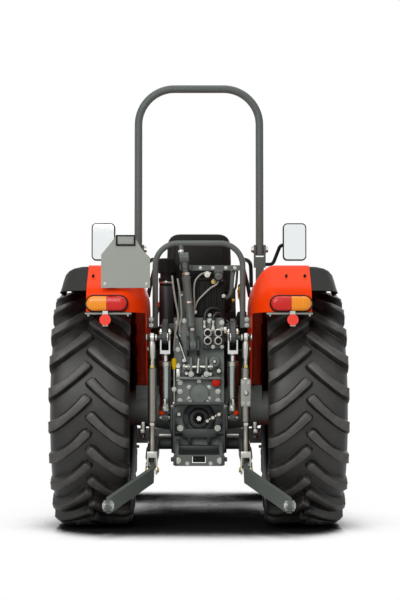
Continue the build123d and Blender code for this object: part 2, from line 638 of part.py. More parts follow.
def hood_form(inset, open_by):
    """Hood's outer form taken in by inset, and let out at the bottom and rear by open_by."""
    nose = HOOD_FRONT - inset
    rear = HOOD_REAR - open_by
    low = HOOD_LOW - open_by
    side = Polygon((rear, low), (nose, low), (nose, HOOD_TOP_FRONT - inset),
                   (rear, HOOD_TOP_REAR - inset), align=None)
    crest = [v for v in side.vertices() if v.X > HOOD_REAR and v.Y > HOOD_LOW + 100]
    form = extrude(Plane.YZ.offset(-400) * fillet(crest, HOOD_CORNER - inset), amount=800, dir=(1, 0, 0))
    wide = HOOD_HALF_REAR - inset
    top = HOOD_TOP_REAR - inset
    section = Polygon((-wide, low), (wide, low), (wide - 20, top), (-wide + 20, top), align=None)
    upper = [v for v in section.vertices() if v.Y > HOOD_LOW + 100]
    section_plane = Plane(origin=(0, rear, 0), x_dir=(1, 0, 0), z_dir=(0, -1, 0))
    rounded = section_plane * fillet(upper, HOOD_CORNER - inset)
    form &= extrude(rounded, amount=nose - rear + 10, dir=(0, 1, 0))
    narrow = HOOD_HALF_FRONT - inset
    plan = Polygon((-wide, rear), (wide, rear), (narrow, nose), (-narrow, nose), align=None)
    return form & extrude(Plane.XY * plan, amount=HOOD_TOP_REAR + 100, dir=(0, 0, 1))


def hood():
    """Tilting hood shell, open below and behind, with a slatted grille and two head lamps."""
    shell = hood_form(0, 0) - hood_form(HOOD_WALL, 30)
    shell -= block(-GRILLE_HALF_WIDTH, GRILLE_HALF_WIDTH, HOOD_FRONT - 40, HOOD_FRONT + 1,
                   GRILLE_LOW, GRILLE_HIGH)
    pivot_y = HOOD_REAR + HOOD_PIVOT_INSET
    pivot_z = HOOD_TOP_REAR - HOOD_PIVOT_DROP
    for x in (-HOOD_PIN_X - 17, HOOD_PIN_X + 5):
        shell += block(x, x + 12, pivot_y - 10, pivot_y + 10, pivot_z - 10, HOOD_TOP_REAR - HOOD_WALL)
    for x in (-HOOD_PIN_X - 20, HOOD_PIN_X):
        shell -= rod((x, pivot_y, pivot_z), (x + 20, pivot_y, pivot_z), HOOD_PIN_RADIUS + PIN_GAP)
    save("hood", shell)

    rim = GRILLE_RIM
    inside = HOOD_FRONT - HOOD_WALL
    grille = block(-GRILLE_HALF_WIDTH - rim, GRILLE_HALF_WIDTH + rim, inside - GRILLE_DEPTH, inside,
                   GRILLE_LOW - rim, GRILLE_HIGH + rim)
    pitch = (GRILLE_HIGH - GRILLE_LOW) / GRILLE_SLATS
    for i in range(GRILLE_SLATS):
        low = GRILLE_LOW + i * pitch + pitch * 0.3
        grille -= block(-GRILLE_HALF_WIDTH + 8, GRILLE_HALF_WIDTH - 8, inside - GRILLE_DEPTH - 1, inside + 1,
                        low, low + pitch * 0.55)
    save("grille", grille)

    lamp_z = (GRILLE_HIGH + HOOD_TOP_FRONT - HOOD_CORNER) / 2 + 4
    low = lamp_z - HEAD_LAMP_HALF
    high = lamp_z + HEAD_LAMP_HALF
    lamp = [(HEAD_LAMP_INNER, low), (HEAD_LAMP_OUTER, low), (HEAD_LAMP_OUTER, high), (HEAD_LAMP_INNER, high)]
    head_lamp = rear_plate(lamp, HOOD_FRONT, HOOD_FRONT + HEAD_LAMP_DEPTH, 20)
    save("head_lamps", head_lamp, mirrored(head_lamp))


def cowl_and_steering():
    """Instrument cowl behind the hood, its sloping column, and the driver's steering wheel."""
    front = HOOD_REAR - COWL_GAP
    cowl = side_plate([
        (COWL_REAR, DECK_TOP), (front, DECK_TOP), (front, COWL_TOP), (COWL_REAR + 60, COWL_TOP),
        (COWL_REAR, COWL_TOP - 150),
    ], -COWL_HALF, COWL_HALF)
    cowl -= block(-HOUSING_HALF_WIDTH, HOUSING_HALF_WIDTH, COWL_REAR - 1, front + 1, DECK_TOP - 1,
                  ENGINE_TOP + 20)
    foot = Vector(0, COLUMN_FOOT_Y, COLUMN_FOOT_Z)
    hub = Vector(0, STEERING_HUB_Y, STEERING_HUB_Z)
    along = (hub - foot).normalized()
    cowl += rod(foot, hub - along * (40 + HUB_GAP), COLUMN_RADIUS)
    pivot_y = HOOD_REAR + HOOD_PIVOT_INSET
    pivot_z = HOOD_TOP_REAR - HOOD_PIVOT_DROP
    for side in (-1, 1):
        ear = side * HOOD_PIN_X
        cowl += block(ear - 4, ear + 4, front, pivot_y + 8, pivot_z - 60, pivot_z - 40)
        cowl += block(ear - 4, ear + 4, pivot_y - 8, pivot_y + 8, pivot_z - 40, pivot_z)
        cowl += rod((ear - 4, pivot_y, pivot_z), (ear + 4, pivot_y, pivot_z), 8)
        cowl += rod((ear, pivot_y, pivot_z), (ear + side * 18, pivot_y, pivot_z), HOOD_PIN_RADIUS)
    save("dash_cowl", cowl)

    wheel_plane = Plane(origin=hub, x_dir=(1, 0, 0), z_dir=along)
    ring = Torus(STEERING_WHEEL_RADIUS, STEERING_GRIP_RADIUS)
    ring += Pos(0, 0, -15) * Cylinder(38, 50)
    for angle in (90, 210, 330):
        spoke = Box(STEERING_WHEEL_RADIUS - 10, STEERING_SPOKE_WIDTH, 9)
        spoke = Pos(STEERING_WHEEL_RADIUS / 2, 0, -4) * spoke
        ring += Rot(0, 0, angle) * spoke
    save("steering_wheel", wheel_plane.location * ring)


def platform():
    """Deck plate on each side of the housings, with a hung step ahead of the rear wheel."""
    low = DECK_TOP - DECK_THICK
    front = HOOD_REAR - COWL_GAP
    plan = [
        (HOUSING_HALF_WIDTH, DECK_REAR), (DECK_HALF_REAR, DECK_REAR), (DECK_HALF_REAR, DECK_STEP_START),
        (DECK_HALF_FRONT, DECK_STEP_START), (DECK_HALF_FRONT, front), (HOUSING_HALF_WIDTH, front),
    ]
    deck = extrude(Plane.XY.offset(low) * Polygon(*plan, align=None), amount=DECK_THICK, dir=(0, 0, 1))
    step_rear = DECK_STEP_START + 110
    step_front = front - 60
    tread = DECK_HALF_FRONT - 130
    deck += block(tread, DECK_HALF_FRONT, step_rear, step_front, STEP_HEIGHT, STEP_HEIGHT + 22)
    for y in (step_rear, step_front - 12):
        deck += block(DECK_HALF_FRONT - 50, DECK_HALF_FRONT, y, y + 12, STEP_HEIGHT, DECK_TOP)
    save("platform", deck, mirrored(deck))


def seat():
    """Seat base on the housing, a padded cushion and a backrest held by two stays."""
    low = SEAT_CUSHION_TOP - SEAT_CUSHION_DEPTH
    stay_top = low + SEAT_STAY_RISE
    base = block(-136, 136, SEAT_BACK_Y + 70, SEAT_BACK_Y + 430, HOUSING_TOP, low - SEAT_PAN)
    base += block(-180, 180, SEAT_BACK_Y + 40, SEAT_BACK_Y + 460, low - SEAT_PAN, low)
    for x in (-SEAT_STAY_X - SEAT_STAY_WIDTH, SEAT_STAY_X):
        base += side_plate([
            (SEAT_BACK_Y - 2, low - SEAT_PAN), (SEAT_BACK_Y + 60, low - SEAT_PAN), (SEAT_BACK_Y + 60, low),
            (SEAT_BACK_Y + 10, stay_top), (SEAT_BACK_Y - 2, stay_top),
        ], x, x + SEAT_STAY_WIDTH)
    save("seat_base", base)

    half = SEAT_HALF_WIDTH
    rear = SEAT_BACK_Y + 95
    front = SEAT_BACK_Y + 500
    cushion = Polygon((-half, rear), (half, rear), (half, front), (-half, front), align=None)
    face = fillet(cushion.vertices(), 60)
    save("seat_cushion", extrude(Plane.XY.offset(low) * face, amount=SEAT_CUSHION_DEPTH, dir=(0, 0, 1)))

    back = [(-half + 20, low + 125), (half - 20, low + 125), (half - 35, SEAT_TOP), (-half + 35, SEAT_TOP)]
    back_y = SEAT_BACK_Y + 10
    backrest = rear_plate(back, back_y, back_y + SEAT_BACK_DEPTH, 70)
    gap = SEAT_GAP
    recess = block(-SEAT_STAY_X - SEAT_STAY_WIDTH - gap, -SEAT_STAY_X + gap,
                   back_y - 1, SEAT_BACK_Y + 60 + gap, 0, stay_top + gap)
    backrest -= recess + mirrored(recess)
    save("seat_back", backrest)


def fender_side(front, top, tail, tail_low, low):
    """Side outline of the fender's skin, front foot to tail, with rounded upper corners."""
    outline = Polygon(
        (front, low), (front - 60, low + 330), (front - 330, top), (tail + FENDER_SLOPE_RUN, top),
        (tail, top - FENDER_SLOPE_DROP), (tail, tail_low), (-300, low), align=None)
    bends = [v for v in outline.vertices() if v.Y > tail_low + 30 and v.Y > low + 300]
    return fillet(bends, 95)


def fender_skin(section, front, top, tail, tail_low, low):
    """Side outline and rear section crossed into one solid form."""
    side = Plane.YZ.offset(200) * fender_side(front, top, tail, tail_low, low)
    across = Plane(origin=(0, -1000, 0), x_dir=(1, 0, 0), z_dir=(0, -1, 0)) * Polygon(*section, align=None)
    return extrude(side, amount=700, dir=(1, 0, 0)) & extrude(across, amount=2000, dir=(0, 1, 0))


def fenders():
    """Steel fender with an inner wall and a sloping shoulder, and its dark outer extension."""
    w = FENDER_WALL
    top = FENDER_TOP
    shoulder = FENDER_INNER + SHOULDER_WIDTH
    outer = [(FENDER_INNER, 0), (FENDER_INNER, top - SHOULDER_DROP), (shoulder, top),
             (FENDER_OUTER, top), (FENDER_OUTER, 0)]
    inner = [(FENDER_INNER + w, -1), (FENDER_INNER + w, top - SHOULDER_DROP - w), (shoulder + w, top - w),
             (FENDER_OUTER + 1, top - w), (FENDER_OUTER + 1, -1)]
    fender = fender_skin(outer, FENDER_FRONT, top, FENDER_TAIL, FENDER_TAIL_LOW, DECK_TOP)
    fender -= fender_skin(inner, FENDER_FRONT - w, top - w, FENDER_TAIL + w, FENDER_TAIL_LOW - 60,
                          DECK_TOP - 60)
    save_pair("fender", fender)

    band = EXTENSION_OUTER
    flat = top - EXTENSION_DROP
    cover = [(FENDER_OUTER, 0), (FENDER_OUTER, top), (FENDER_OUTER + 30, flat), (band - 45, flat),
             (band, flat - 50), (band, 0)]
    under = [(FENDER_OUTER - 1, -1), (FENDER_OUTER - 1, top - w), (FENDER_OUTER + 30 - w, flat - w),
             (band - 45 - w / 2, flat - w), (band - w, flat - 50 - w / 2), (band - w, -1)]
    extension = fender_skin(cover, FENDER_FRONT, top, FENDER_TAIL, FENDER_TAIL_LOW, DECK_TOP)
    extension -= fender_skin(under, FENDER_FRONT - w, top - w, FENDER_TAIL + w, FENDER_TAIL_LOW - 60,
                             DECK_TOP - 60)
    trim = [(-900, 0), (900, 0), (900, EXTENSION_LIP - 120), (400, EXTENSION_LIP), (-900, EXTENSION_LIP)]
    extension -= side_plate(trim, FENDER_OUTER - 2, band + 2)
    wheel_room = REAR_TYRE_DIA / 2 + EXTENSION_WHEEL_GAP
    extension -= rod((FENDER_OUTER - 2, 0, REAR_AXLE_Z), (band + 2, 0, REAR_AXLE_Z), wheel_room)
    save("fender_extensions", extension, mirrored(extension))


def rear_lamps():
    """Two-colour tail lamps, hanging reflectors on strips, and a blank sign plate."""
    middle = (LAMP_INNER + LAMP_OUTER) / 2
    high = (LAMP_HIGH - LAMP_LOW) / 2
    capsule = rear_plate([(LAMP_INNER, LAMP_LOW), (LAMP_OUTER, LAMP_LOW), (LAMP_OUTER, LAMP_HIGH),
                          (LAMP_INNER, LAMP_HIGH)], FENDER_TAIL - LAMP_DEPTH, FENDER_TAIL, high - 1)
    red = capsule & block(0, middle, -2000, 0, 0, 3000)
    amber = capsule & block(middle, 1000, -2000, 0, 0, 3000)
    save("rear_lamps_red", red, mirrored(red))
    save("rear_lamps_amber", amber, mirrored(amber))

    face = FENDER_TAIL - LAMP_DEPTH
    strip = block(REFLECTOR_X - 14, REFLECTOR_X + 14, face + 12, face + 15, REFLECTOR_Z - 34, LAMP_LOW)
    save("reflector_strips", strip, mirrored(strip))
    disc = rod((REFLECTOR_X, face + 2, REFLECTOR_Z), (REFLECTOR_X, face + 12, REFLECTOR_Z), REFLECTOR_RADIUS)
    save("reflectors", disc, mirrored(disc))

    sign_y = FENDER_TAIL - SIGN_STAND
    cut = SIGN_CUT
    plate = rear_plate([
        (SIGN_LEFT, SIGN_LOW), (SIGN_RIGHT, SIGN_LOW), (SIGN_RIGHT, SIGN_HIGH - cut - 40),
        (SIGN_RIGHT - 40, SIGN_HIGH - cut), (SIGN_RIGHT - cut - 10, SIGN_HIGH),
        (SIGN_LEFT + cut, SIGN_HIGH), (SIGN_LEFT + 60, SIGN_HIGH - 30), (SIGN_LEFT, SIGN_HIGH - cut - 25),
    ], sign_y - SIGN_THICK, sign_y)
    low = FENDER_TOP - FENDER_SLOPE_DROP + SIGN_BRACKET_RISE
    high = low + SIGN_BRACKET_HEIGHT
    slope = FENDER_SLOPE_RUN / FENDER_SLOPE_DROP
    seat_low = FENDER_TAIL + SIGN_BRACKET_RISE * slope
    seat_high = seat_low + SIGN_BRACKET_HEIGHT * slope
    middle = -(FENDER_INNER + SHOULDER_WIDTH + SIGN_BRACKET_WIDTH)
    face = sign_y - SIGN_THICK
    plate += side_plate([(face, low), (seat_low, low), (seat_high, high), (face, high)],
                        middle - SIGN_BRACKET_WIDTH / 2, middle + SIGN_BRACKET_WIDTH / 2)
    save("sign_plate", plate)


def roll_over_frame():
    """Fixed posts with hinge ears, the folding hoop, and a rear-view mirror on each post."""
    half = ROPS_TUBE / 2
    ear = ROPS_EAR
    post = block(ROPS_X - half, ROPS_X + half, ROPS_Y - half, ROPS_Y + half, DECK_TOP, ROPS_HINGE_Z - 45)
    for x in (ROPS_X - half - ear, ROPS_X + half):
        post += block(x, x + ear, ROPS_Y - half, ROPS_Y + half, ROPS_HINGE_Z - 110, ROPS_HINGE_Z + 30)
    pin = rod((ROPS_X - half - ear, ROPS_Y, ROPS_HINGE_Z), (ROPS_X + half + ear, ROPS_Y, ROPS_HINGE_Z),
              ROPS_PIN_RADIUS)
    post += pin
    save("rops_posts", post, mirrored(post))

    top = ROPS_TOP - half
    hoop = tube_along([
        (-ROPS_X, ROPS_Y, ROPS_HINGE_Z - 35), (-ROPS_X, ROPS_Y, top), (ROPS_X, ROPS_Y, top),
        (ROPS_X, ROPS_Y, ROPS_HINGE_Z - 35),
    ], ROPS_CORNER, half - 0.5)
    for x in (-ROPS_X, ROPS_X):
        hoop -= rod((x - 60, ROPS_Y, ROPS_HINGE_Z), (x + 60, ROPS_Y, ROPS_HINGE_Z), ROPS_PIN_RADIUS + PIN_GAP)
    save("rops_hoop", hoop)

    arm_z = MIRROR_LOW - 20
    glass_y = ROPS_Y - 60
    middle = MIRROR_LOW + MIRROR_HEIGHT / 2
    edge = MIRROR_INNER + MIRROR_WIDTH
    side = ROPS_X + half + ear
    housing = rear_plate([(MIRROR_INNER, MIRROR_LOW), (edge, MIRROR_LOW), (edge, MIRROR_LOW + MIRROR_HEIGHT),
                          (MIRROR_INNER, MIRROR_LOW + MIRROR_HEIGHT)], glass_y, glass_y + MIRROR_DEPTH, 28)
    housing += tube_along([
        (side, ROPS_Y, arm_z), (side + 45, ROPS_Y, arm_z), (MIRROR_INNER - 15, ROPS_Y - 25, middle - 20),
        (MIRROR_INNER + 60, ROPS_Y - 35, middle - 10),
    ], 30, MIRROR_ARM_RADIUS)
    save("mirror_housings", housing, mirrored(housing))
    rim = MIRROR_RIM
    glass = rear_plate([(MIRROR_INNER + rim, MIRROR_LOW + rim), (edge - rim, MIRROR_LOW + rim),
                        (edge - rim, MIRROR_LOW + MIRROR_HEIGHT - rim),
                        (MIRROR_INNER + rim, MIRROR_LOW + MIRROR_HEIGHT - rim)], glass_y - 4, glass_y, 22)
    save("mirror_glass", glass, mirrored(glass))


def rear_arch():
    """Bent tube arch behind the seat with a cross plate, a trailer socket and fender feet."""
    arch = tube_along([(-ARCH_X, ARCH_Y, ARCH_FOOT), (-ARCH_X, ARCH_Y, ARCH_TOP), (ARCH_X, ARCH_Y, ARCH_TOP),
                       (ARCH_X, ARCH_Y, ARCH_FOOT)], ARCH_CORNER, ARCH_TUBE)
    for x in (-FENDER_INNER, ARCH_X):
        arch += block(x, x + FENDER_INNER - ARCH_X, ARCH_Y - 30, ARCH_Y + 30, ARCH_FOOT, ARCH_FOOT + 60)
    low = ARCH_PLATE_LOW
    high = low + ARCH_PLATE_HEIGHT
    face = ARCH_Y - ARCH_PLATE / 2
    clip_x = TOP_LINK_X - (low + high - 2 * TOP_LINK_Z) / 2 * tan(radians(TOP_LINK_LEAN))
    clip_left = clip_x - CLIP_GAP / 2 - CLIP_THICK
    arch += block(clip_left, ARCH_X, face, ARCH_Y + ARCH_PLATE / 2, low, high)
    for x in (clip_left, clip_x + CLIP_GAP / 2):
        arch += block(x, x + CLIP_THICK, TOP_LINK_Y, face, low, high)
    holder = SOCKET_RADIUS + 2
    arch += block(SOCKET_X - holder, SOCKET_X + holder, face, ARCH_Y + ARCH_PLATE / 2,
                  SOCKET_Z - holder, low + 5)
    arch += rod((SOCKET_X, face, SOCKET_Z), (SOCKET_X, face - SOCKET_DEPTH, SOCKET_Z), SOCKET_RADIUS)
    save("rear_arch", arch)


def fuel_system():
    """Tank beside the housing under the seat, with a hose neck and a screw cap."""
    tank = block(-FENDER_INNER + 2, -HOUSING_HALF_WIDTH - 4, TANK_REAR, TANK_FRONT, DECK_TOP, TANK_TOP)
    save("fuel_tank", fillet(tank.edges().filter_by(Axis.Y), 20))
    x, y = FILLER_X, FILLER_Y
    collar = FILLER_TOP + 12
    cap = collar + 28
    neck = rod((x, y, TANK_TOP), (x, y, FILLER_TOP), FILLER_RADIUS)
    neck += rod((x, y, FILLER_TOP - 10), (x, y, collar), FILLER_RADIUS + 4)
    neck += rod((x, y, collar), (x, y, cap), FILLER_RADIUS - 4)
    neck += rod((x, y, cap), (x, y, cap + FILLER_CAP_HEIGHT), FILLER_RADIUS + 7)
    save("fuel_filler", neck)


def hitch_brackets():
    """Side brackets on the rear housing with the pins of the lower links and the cylinders."""
    half = HOUSING_HALF_WIDTH
    plate_out = half + 15
    bracket = side_plate([
        (LINK_PIVOT_Y + 60, LINK_PIVOT_Z - 50), (LINK_PIVOT_Y + 60, LINK_PIVOT_Z + 70),
        (CYLINDER_Y + 60, CYLINDER_Z + 40), (CYLINDER_Y - 35, CYLINDER_Z + 40),
        (CYLINDER_Y - 35, CYLINDER_Z - 40), (LINK_PIVOT_Y - 70, LINK_PIVOT_Z - 50),
    ], half, plate_out, 20)
    eye = LINK_PIVOT_X - LINK_THICK / 2 - PIN_GAP
    bracket += rod((half, LINK_PIVOT_Y, LINK_PIVOT_Z), (eye, LINK_PIVOT_Y, LINK_PIVOT_Z), 32)
    head = LINK_PIVOT_X + LINK_THICK / 2 + PIN_GAP
    bracket += rod((eye, LINK_PIVOT_Y, LINK_PIVOT_Z), (head + 6, LINK_PIVOT_Y, LINK_PIVOT_Z), LINK_PIN_RADIUS)
    bracket += rod((head, LINK_PIVOT_Y, LINK_PIVOT_Z), (head + 6, LINK_PIVOT_Y, LINK_PIVOT_Z), 24)
    pin_end = CYLINDER_X + 22
    bracket += rod((half, CYLINDER_Y, CYLINDER_Z), (pin_end, CYLINDER_Y, CYLINDER_Z), LIFT_PIN_RADIUS)
    save("hitch_brackets", bracket, mirrored(bracket))


def lower_links():
    """Flat draught link, cranked outward behind the lift rod, from its pivot eye to a bored ball end."""
    outline = [(LINK_PIVOT_X, LINK_PIVOT_Y), (LINK_PIVOT_X, LINK_PIVOT_Y - 70), (LINK_ROD_X, LINK_ROD_Y + 90),
               (LINK_ROD_X, LINK_ROD_Y - 50), (LINK_BALL_X, LINK_BALL_Y)]
    centre = Polyline(*outline)
    strip = offset(centre, amount=LINK_THICK / 2, side=Side.BOTH)
    bar = extrude(make_face(strip), amount=LINK_PIVOT_Z + 200, dir=(0, 0, 1))
    slope = atan2(LINK_PIVOT_Z - LINK_BALL_Z, LINK_PIVOT_Y - LINK_BALL_Y)
    rise = LINK_HEIGHT / 2 / cos(slope)
    bar &= side_plate([
        (LINK_PIVOT_Y, LINK_PIVOT_Z + rise), (LINK_PIVOT_Y, LINK_PIVOT_Z - rise),
        (LINK_BALL_Y, LINK_BALL_Z - rise), (LINK_BALL_Y, LINK_BALL_Z + rise),
    ], 0, 900)
    eye_half = LINK_THICK / 2
    bar += rod((LINK_PIVOT_X - eye_half, LINK_PIVOT_Y, LINK_PIVOT_Z),
               (LINK_PIVOT_X + eye_half, LINK_PIVOT_Y, LINK_PIVOT_Z), LINK_HEIGHT / 2 + 2)
    bar -= rod((LINK_PIVOT_X - 60, LINK_PIVOT_Y, LINK_PIVOT_Z),
               (LINK_PIVOT_X + 60, LINK_PIVOT_Y, LINK_PIVOT_Z), LINK_PIN_RADIUS + PIN_GAP)
    ball_in = (LINK_BALL_X - LINK_BALL_LENGTH / 2, LINK_BALL_Y, LINK_BALL_Z)
    ball_out = (LINK_BALL_X + LINK_BALL_LENGTH / 2, LINK_BALL_Y, LINK_BALL_Z)
    bar += rod(ball_in, ball_out, LINK_BALL_RADIUS)
    bar -= rod((LINK_BALL_X - 60, LINK_BALL_Y, LINK_BALL_Z), (LINK_BALL_X + 60, LINK_BALL_Y, LINK_BALL_Z),
               LINK_BALL_BORE)
    save_pair("lower_link", bar)


def lift_gear():
    """Rockshaft with its two arms, the lift rods that hang from them, and the lift cylinders."""
    arm_out = LIFT_ARM_INNER + LIFT_ARM_THICK
    hub = ROCKSHAFT_RADIUS + 26
    pin_out = LINK_ROD_X + 28
    gear = rod((-arm_out, ROCKSHAFT_Y, ROCKSHAFT_Z), (arm_out, ROCKSHAFT_Y, ROCKSHAFT_Z), ROCKSHAFT_RADIUS)
    arm = side_plate([
        (ROCKSHAFT_Y + 5, ROCKSHAFT_Z + 45), (LIFT_ARM_Y, LIFT_ARM_Z + 26), (LIFT_ARM_Y, LIFT_ARM_Z - 26),
        (ROCKSHAFT_Y + 5, ROCKSHAFT_Z - 48),
    ], LIFT_ARM_INNER, arm_out)
    arm += rod((LIFT_ARM_INNER, ROCKSHAFT_Y, ROCKSHAFT_Z), (arm_out, ROCKSHAFT_Y, ROCKSHAFT_Z), hub)
    arm += rod((LIFT_ARM_INNER, LIFT_ARM_Y, LIFT_ARM_Z), (arm_out, LIFT_ARM_Y, LIFT_ARM_Z), 30)
    arm += rod((arm_out, LIFT_ARM_Y, LIFT_ARM_Z), (pin_out, LIFT_ARM_Y, LIFT_ARM_Z), LIFT_PIN_RADIUS)
    arm += rod((pin_out - 6, LIFT_ARM_Y, LIFT_ARM_Z), (pin_out, LIFT_ARM_Y, LIFT_ARM_Z), 20)
    save("lift_arms", gear + arm + mirrored(arm))

    top = Vector(LINK_ROD_X, LIFT_ARM_Y, LIFT_ARM_Z)
    foot = Vector(LINK_ROD_X, LINK_ROD_Y, LINK_ROD_Z)
    down = (foot - top).normalized()
    eye_half = 12
    lift = rod(top - Vector(eye_half, 0, 0), top + Vector(eye_half, 0, 0), 26)
    lift += rod(top + down * 15, foot - down * 80, LIFT_ROD_RADIUS)
    lift += rod(top + down * 180, top + down * 420, LIFT_ROD_RADIUS + 7)
    tilt = degrees(atan2(LINK_ROD_Y - LIFT_ARM_Y, LIFT_ARM_Z - LINK_ROD_Z))
    reach = LINK_THICK / 2 + LIFT_FORK_GAP
    fork = Pos(0, 0, 85) * Box(2 * reach + 20, 40, 36)
    for x in (-reach - 5, reach + 5):
        fork += Pos(x, 0, 35) * Box(10, 40, 110)
        fork += Pos(x, 0, 0) * Rot(0, 90, 0) * Cylinder(24, 10)
    lift += Pos(foot) * Rot(tilt, 0, 0) * fork
    lift -= rod(top - Vector(60, 0, 0), top + Vector(60, 0, 0), LIFT_PIN_RADIUS + PIN_GAP)
    box_place = Pos(top + down * LEVEL_BOX_DROP) * Rot(tilt, 0, 0)
    levelled = lift + box_place * Box(LEVEL_BOX_WIDTH, LEVEL_BOX_WIDTH, LEVEL_BOX_HEIGHT)
    save("lift_rods", levelled, mirrored(lift))

    reach_angle = atan2(ROCKSHAFT_Z - LIFT_ARM_Z, ROCKSHAFT_Y - LIFT_ARM_Y)
    eye = Vector(CYLINDER_X, ROCKSHAFT_Y - CYLINDER_EYE_REACH * cos(reach_angle),
                 ROCKSHAFT_Z - CYLINDER_EYE_REACH * sin(reach_angle))
    base = Vector(CYLINDER_X, CYLINDER_Y, CYLINDER_Z)
    up = (eye - base).normalized()
    barrel_top = base + up * 315
    barrel = rod(base + up * 34, barrel_top, CYLINDER_RADIUS)
    barrel += rod(base - Vector(18, 0, 0), base + Vector(18, 0, 0), 26)
    barrel += rod(base + up * 10, base + up * 40, 20)
    barrel -= rod(base - Vector(60, 0, 0), base + Vector(60, 0, 0), LIFT_PIN_RADIUS + PIN_GAP)
    barrel -= rod(base + up * 120, barrel_top + up * 5, CYLINDER_ROD_RADIUS + PIN_GAP)
    save("lift_cylinder_barrels", barrel, mirrored(barrel))

    lean = degrees(atan2(eye.Y - base.Y, eye.Z - base.Z))
    piston = rod(base + up * 125, eye - up * (CLEVIS_DEPTH + 10), CYLINDER_ROD_RADIUS)
    tine = LIFT_ARM_THICK / 2 + 6
    clevis = Pos(0, 0, -CLEVIS_DEPTH - 10) * Box(2 * tine + 16, 36, 20)
    for x in (-tine - 4, tine + 4):
        clevis += Pos(x, 0, -CLEVIS_DEPTH / 2) * Box(8, 36, CLEVIS_DEPTH)
        clevis += Pos(x, 0, 0) * Rot(0, 90, 0) * Cylinder(20, 8)
    piston += Pos(eye) * Rot(-lean, 0, 0) * clevis
    save("lift_cylinder_rods", piston, mirrored(piston))


def top_link():
    """Stowed top link, its bracket on the rockshaft case and the remote couplers beside it."""
    case_rear = ROCKSHAFT_Y - ROCKSHAFT_RADIUS - 32
    x, y, z = TOP_LINK_X, TOP_LINK_Y, TOP_LINK_Z
    reach = TOP_LINK_EAR_GAP / 2 + TOP_LINK_EAR
    bracket = rod((x - reach, y, z), (x + reach, y, z), TOP_LINK_PIN_RADIUS)
    for ear in (x - reach, x + TOP_LINK_EAR_GAP / 2):
        bracket += side_plate([(y - 30, z - 30), (case_rear, z - 60), (case_rear, z + 60), (y - 30, z + 30)],
                              ear, ear + TOP_LINK_EAR, 12)
    save("top_link_bracket", bracket)

    length = TOP_LINK_LENGTH
    neck = TOP_LINK_ROD_RADIUS + 3
    body = rod((0, 0, 40), (0, 0, length - 40), TOP_LINK_ROD_RADIUS)
    body += rod((0, 0, 110), (0, 0, length - 130), TOP_LINK_TUBE_RADIUS)
    body += rod((-16, 0, 0), (16, 0, 0), TOP_LINK_BALL_RADIUS)
    end_half = TOP_LINK_EYE / 2
    body += rod((-end_half, 0, length), (end_half, 0, length), TOP_LINK_BALL_RADIUS)
    body += rod((0, 0, 20), (0, 0, 60), neck)
    body += rod((0, 0, length - 60), (0, 0, length - 20), neck)
    body -= rod((-40, 0, 0), (40, 0, 0), TOP_LINK_PIN_RADIUS + PIN_GAP + 2)
    body -= rod((-60, 0, length), (60, 0, length), TOP_LINK_BORE)
    save("top_link", Pos(x, y, z) * Rot(-TOP_LINK_REST, -TOP_LINK_LEAN, 0) * body)

    low = TOP_LINK_Z - 15
    face = case_rear - 50
    couplers = block(COUPLER_LEFT, COUPLER_RIGHT, face, case_rear, low, low + COUPLER_HEIGHT)
    for cap_x in (COUPLER_LEFT + 26, COUPLER_RIGHT - 29):
        for cap_z in (low + 41, low + 85):
            couplers += rod((cap_x, face - 40, cap_z), (cap_x, face, cap_z), COUPLER_CAP_RADIUS)
    save("remote_couplers", couplers)


def pto_and_drawbar():
    """Power take-off shaft under its guard, and the drawbar carrier frame below."""
    neck_rear = HOUSING_REAR - PTO_NECK
    neck_front = HOUSING_REAR + PTO_NECK_DEPTH - HUB_GAP
    shaft = rod((0, neck_rear - PTO_LENGTH, PTO_Z), (0, neck_rear, PTO_Z), PTO_RADIUS)
    shaft += rod((0, neck_rear, PTO_Z), (0, neck_front, PTO_Z), PTO_NECK_RADIUS)
    save("pto_shaft", shaft)

    half = GUARD_HALF
    back = HOUSING_REAR - GUARD_REACH
    leg = PTO_Z - GUARD_DROP
    rail = PTO_Z + GUARD_RISE
    root = HOUSING_REAR - 40
    guard = tube_along([(-half + 50, HOUSING_REAR, leg), (-half + 50, root, leg), (-half, back, leg),
                        (-half, back, rail), (half, back, rail), (half, back, leg),
                        (half - 50, root, leg), (half - 50, HOUSING_REAR, leg)], 40, GUARD_TUBE_RADIUS)
    guard += block(-half + 20, half - 20, back, HOUSING_REAR, rail - 10, rail - 2)
    save("pto_guard", guard)

    rear = DRAWBAR_REAR
    frame = block(-DRAWBAR_HALF, DRAWBAR_HALF, rear, rear + 16, DRAWBAR_LOW, DRAWBAR_HIGH)
    frame -= block(-DRAWBAR_WINDOW, DRAWBAR_WINDOW, rear - 1, rear + 17, DRAWBAR_LOW + 16, DRAWBAR_HIGH - 7)
    for x in (-DRAWBAR_HALF, DRAWBAR_HALF - DRAWBAR_PLATE):
        frame += side_plate([
            (rear, DRAWBAR_LOW), (rear, DRAWBAR_HIGH), (HOUSING_REAR - 60, HOUSING_LOW + 100),
            (HOUSING_REAR, HOUSING_LOW + 100), (HOUSING_REAR, HOUSING_LOW + 45),
            (HOUSING_REAR - 60, HOUSING_LOW + 20),
        ], x, x + DRAWBAR_PLATE)
    save("drawbar_frame", frame)


def main():
    os.makedirs("parts", exist_ok=True)
    for build in (wheels, rear_axle, front_axle, knuckles, drive_line, front_frame, hood, cowl_and_steering,
                  platform, seat, fenders, rear_lamps, roll_over_frame, rear_arch, fuel_system,
                  hitch_brackets, lower_links, lift_gear, top_link, pto_and_drawbar):
        build()


main()
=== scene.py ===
from math import atan2, cos, pi, radians, sin, sqrt, tan

import bmesh
import bpy
from mathutils import Matrix, Vector


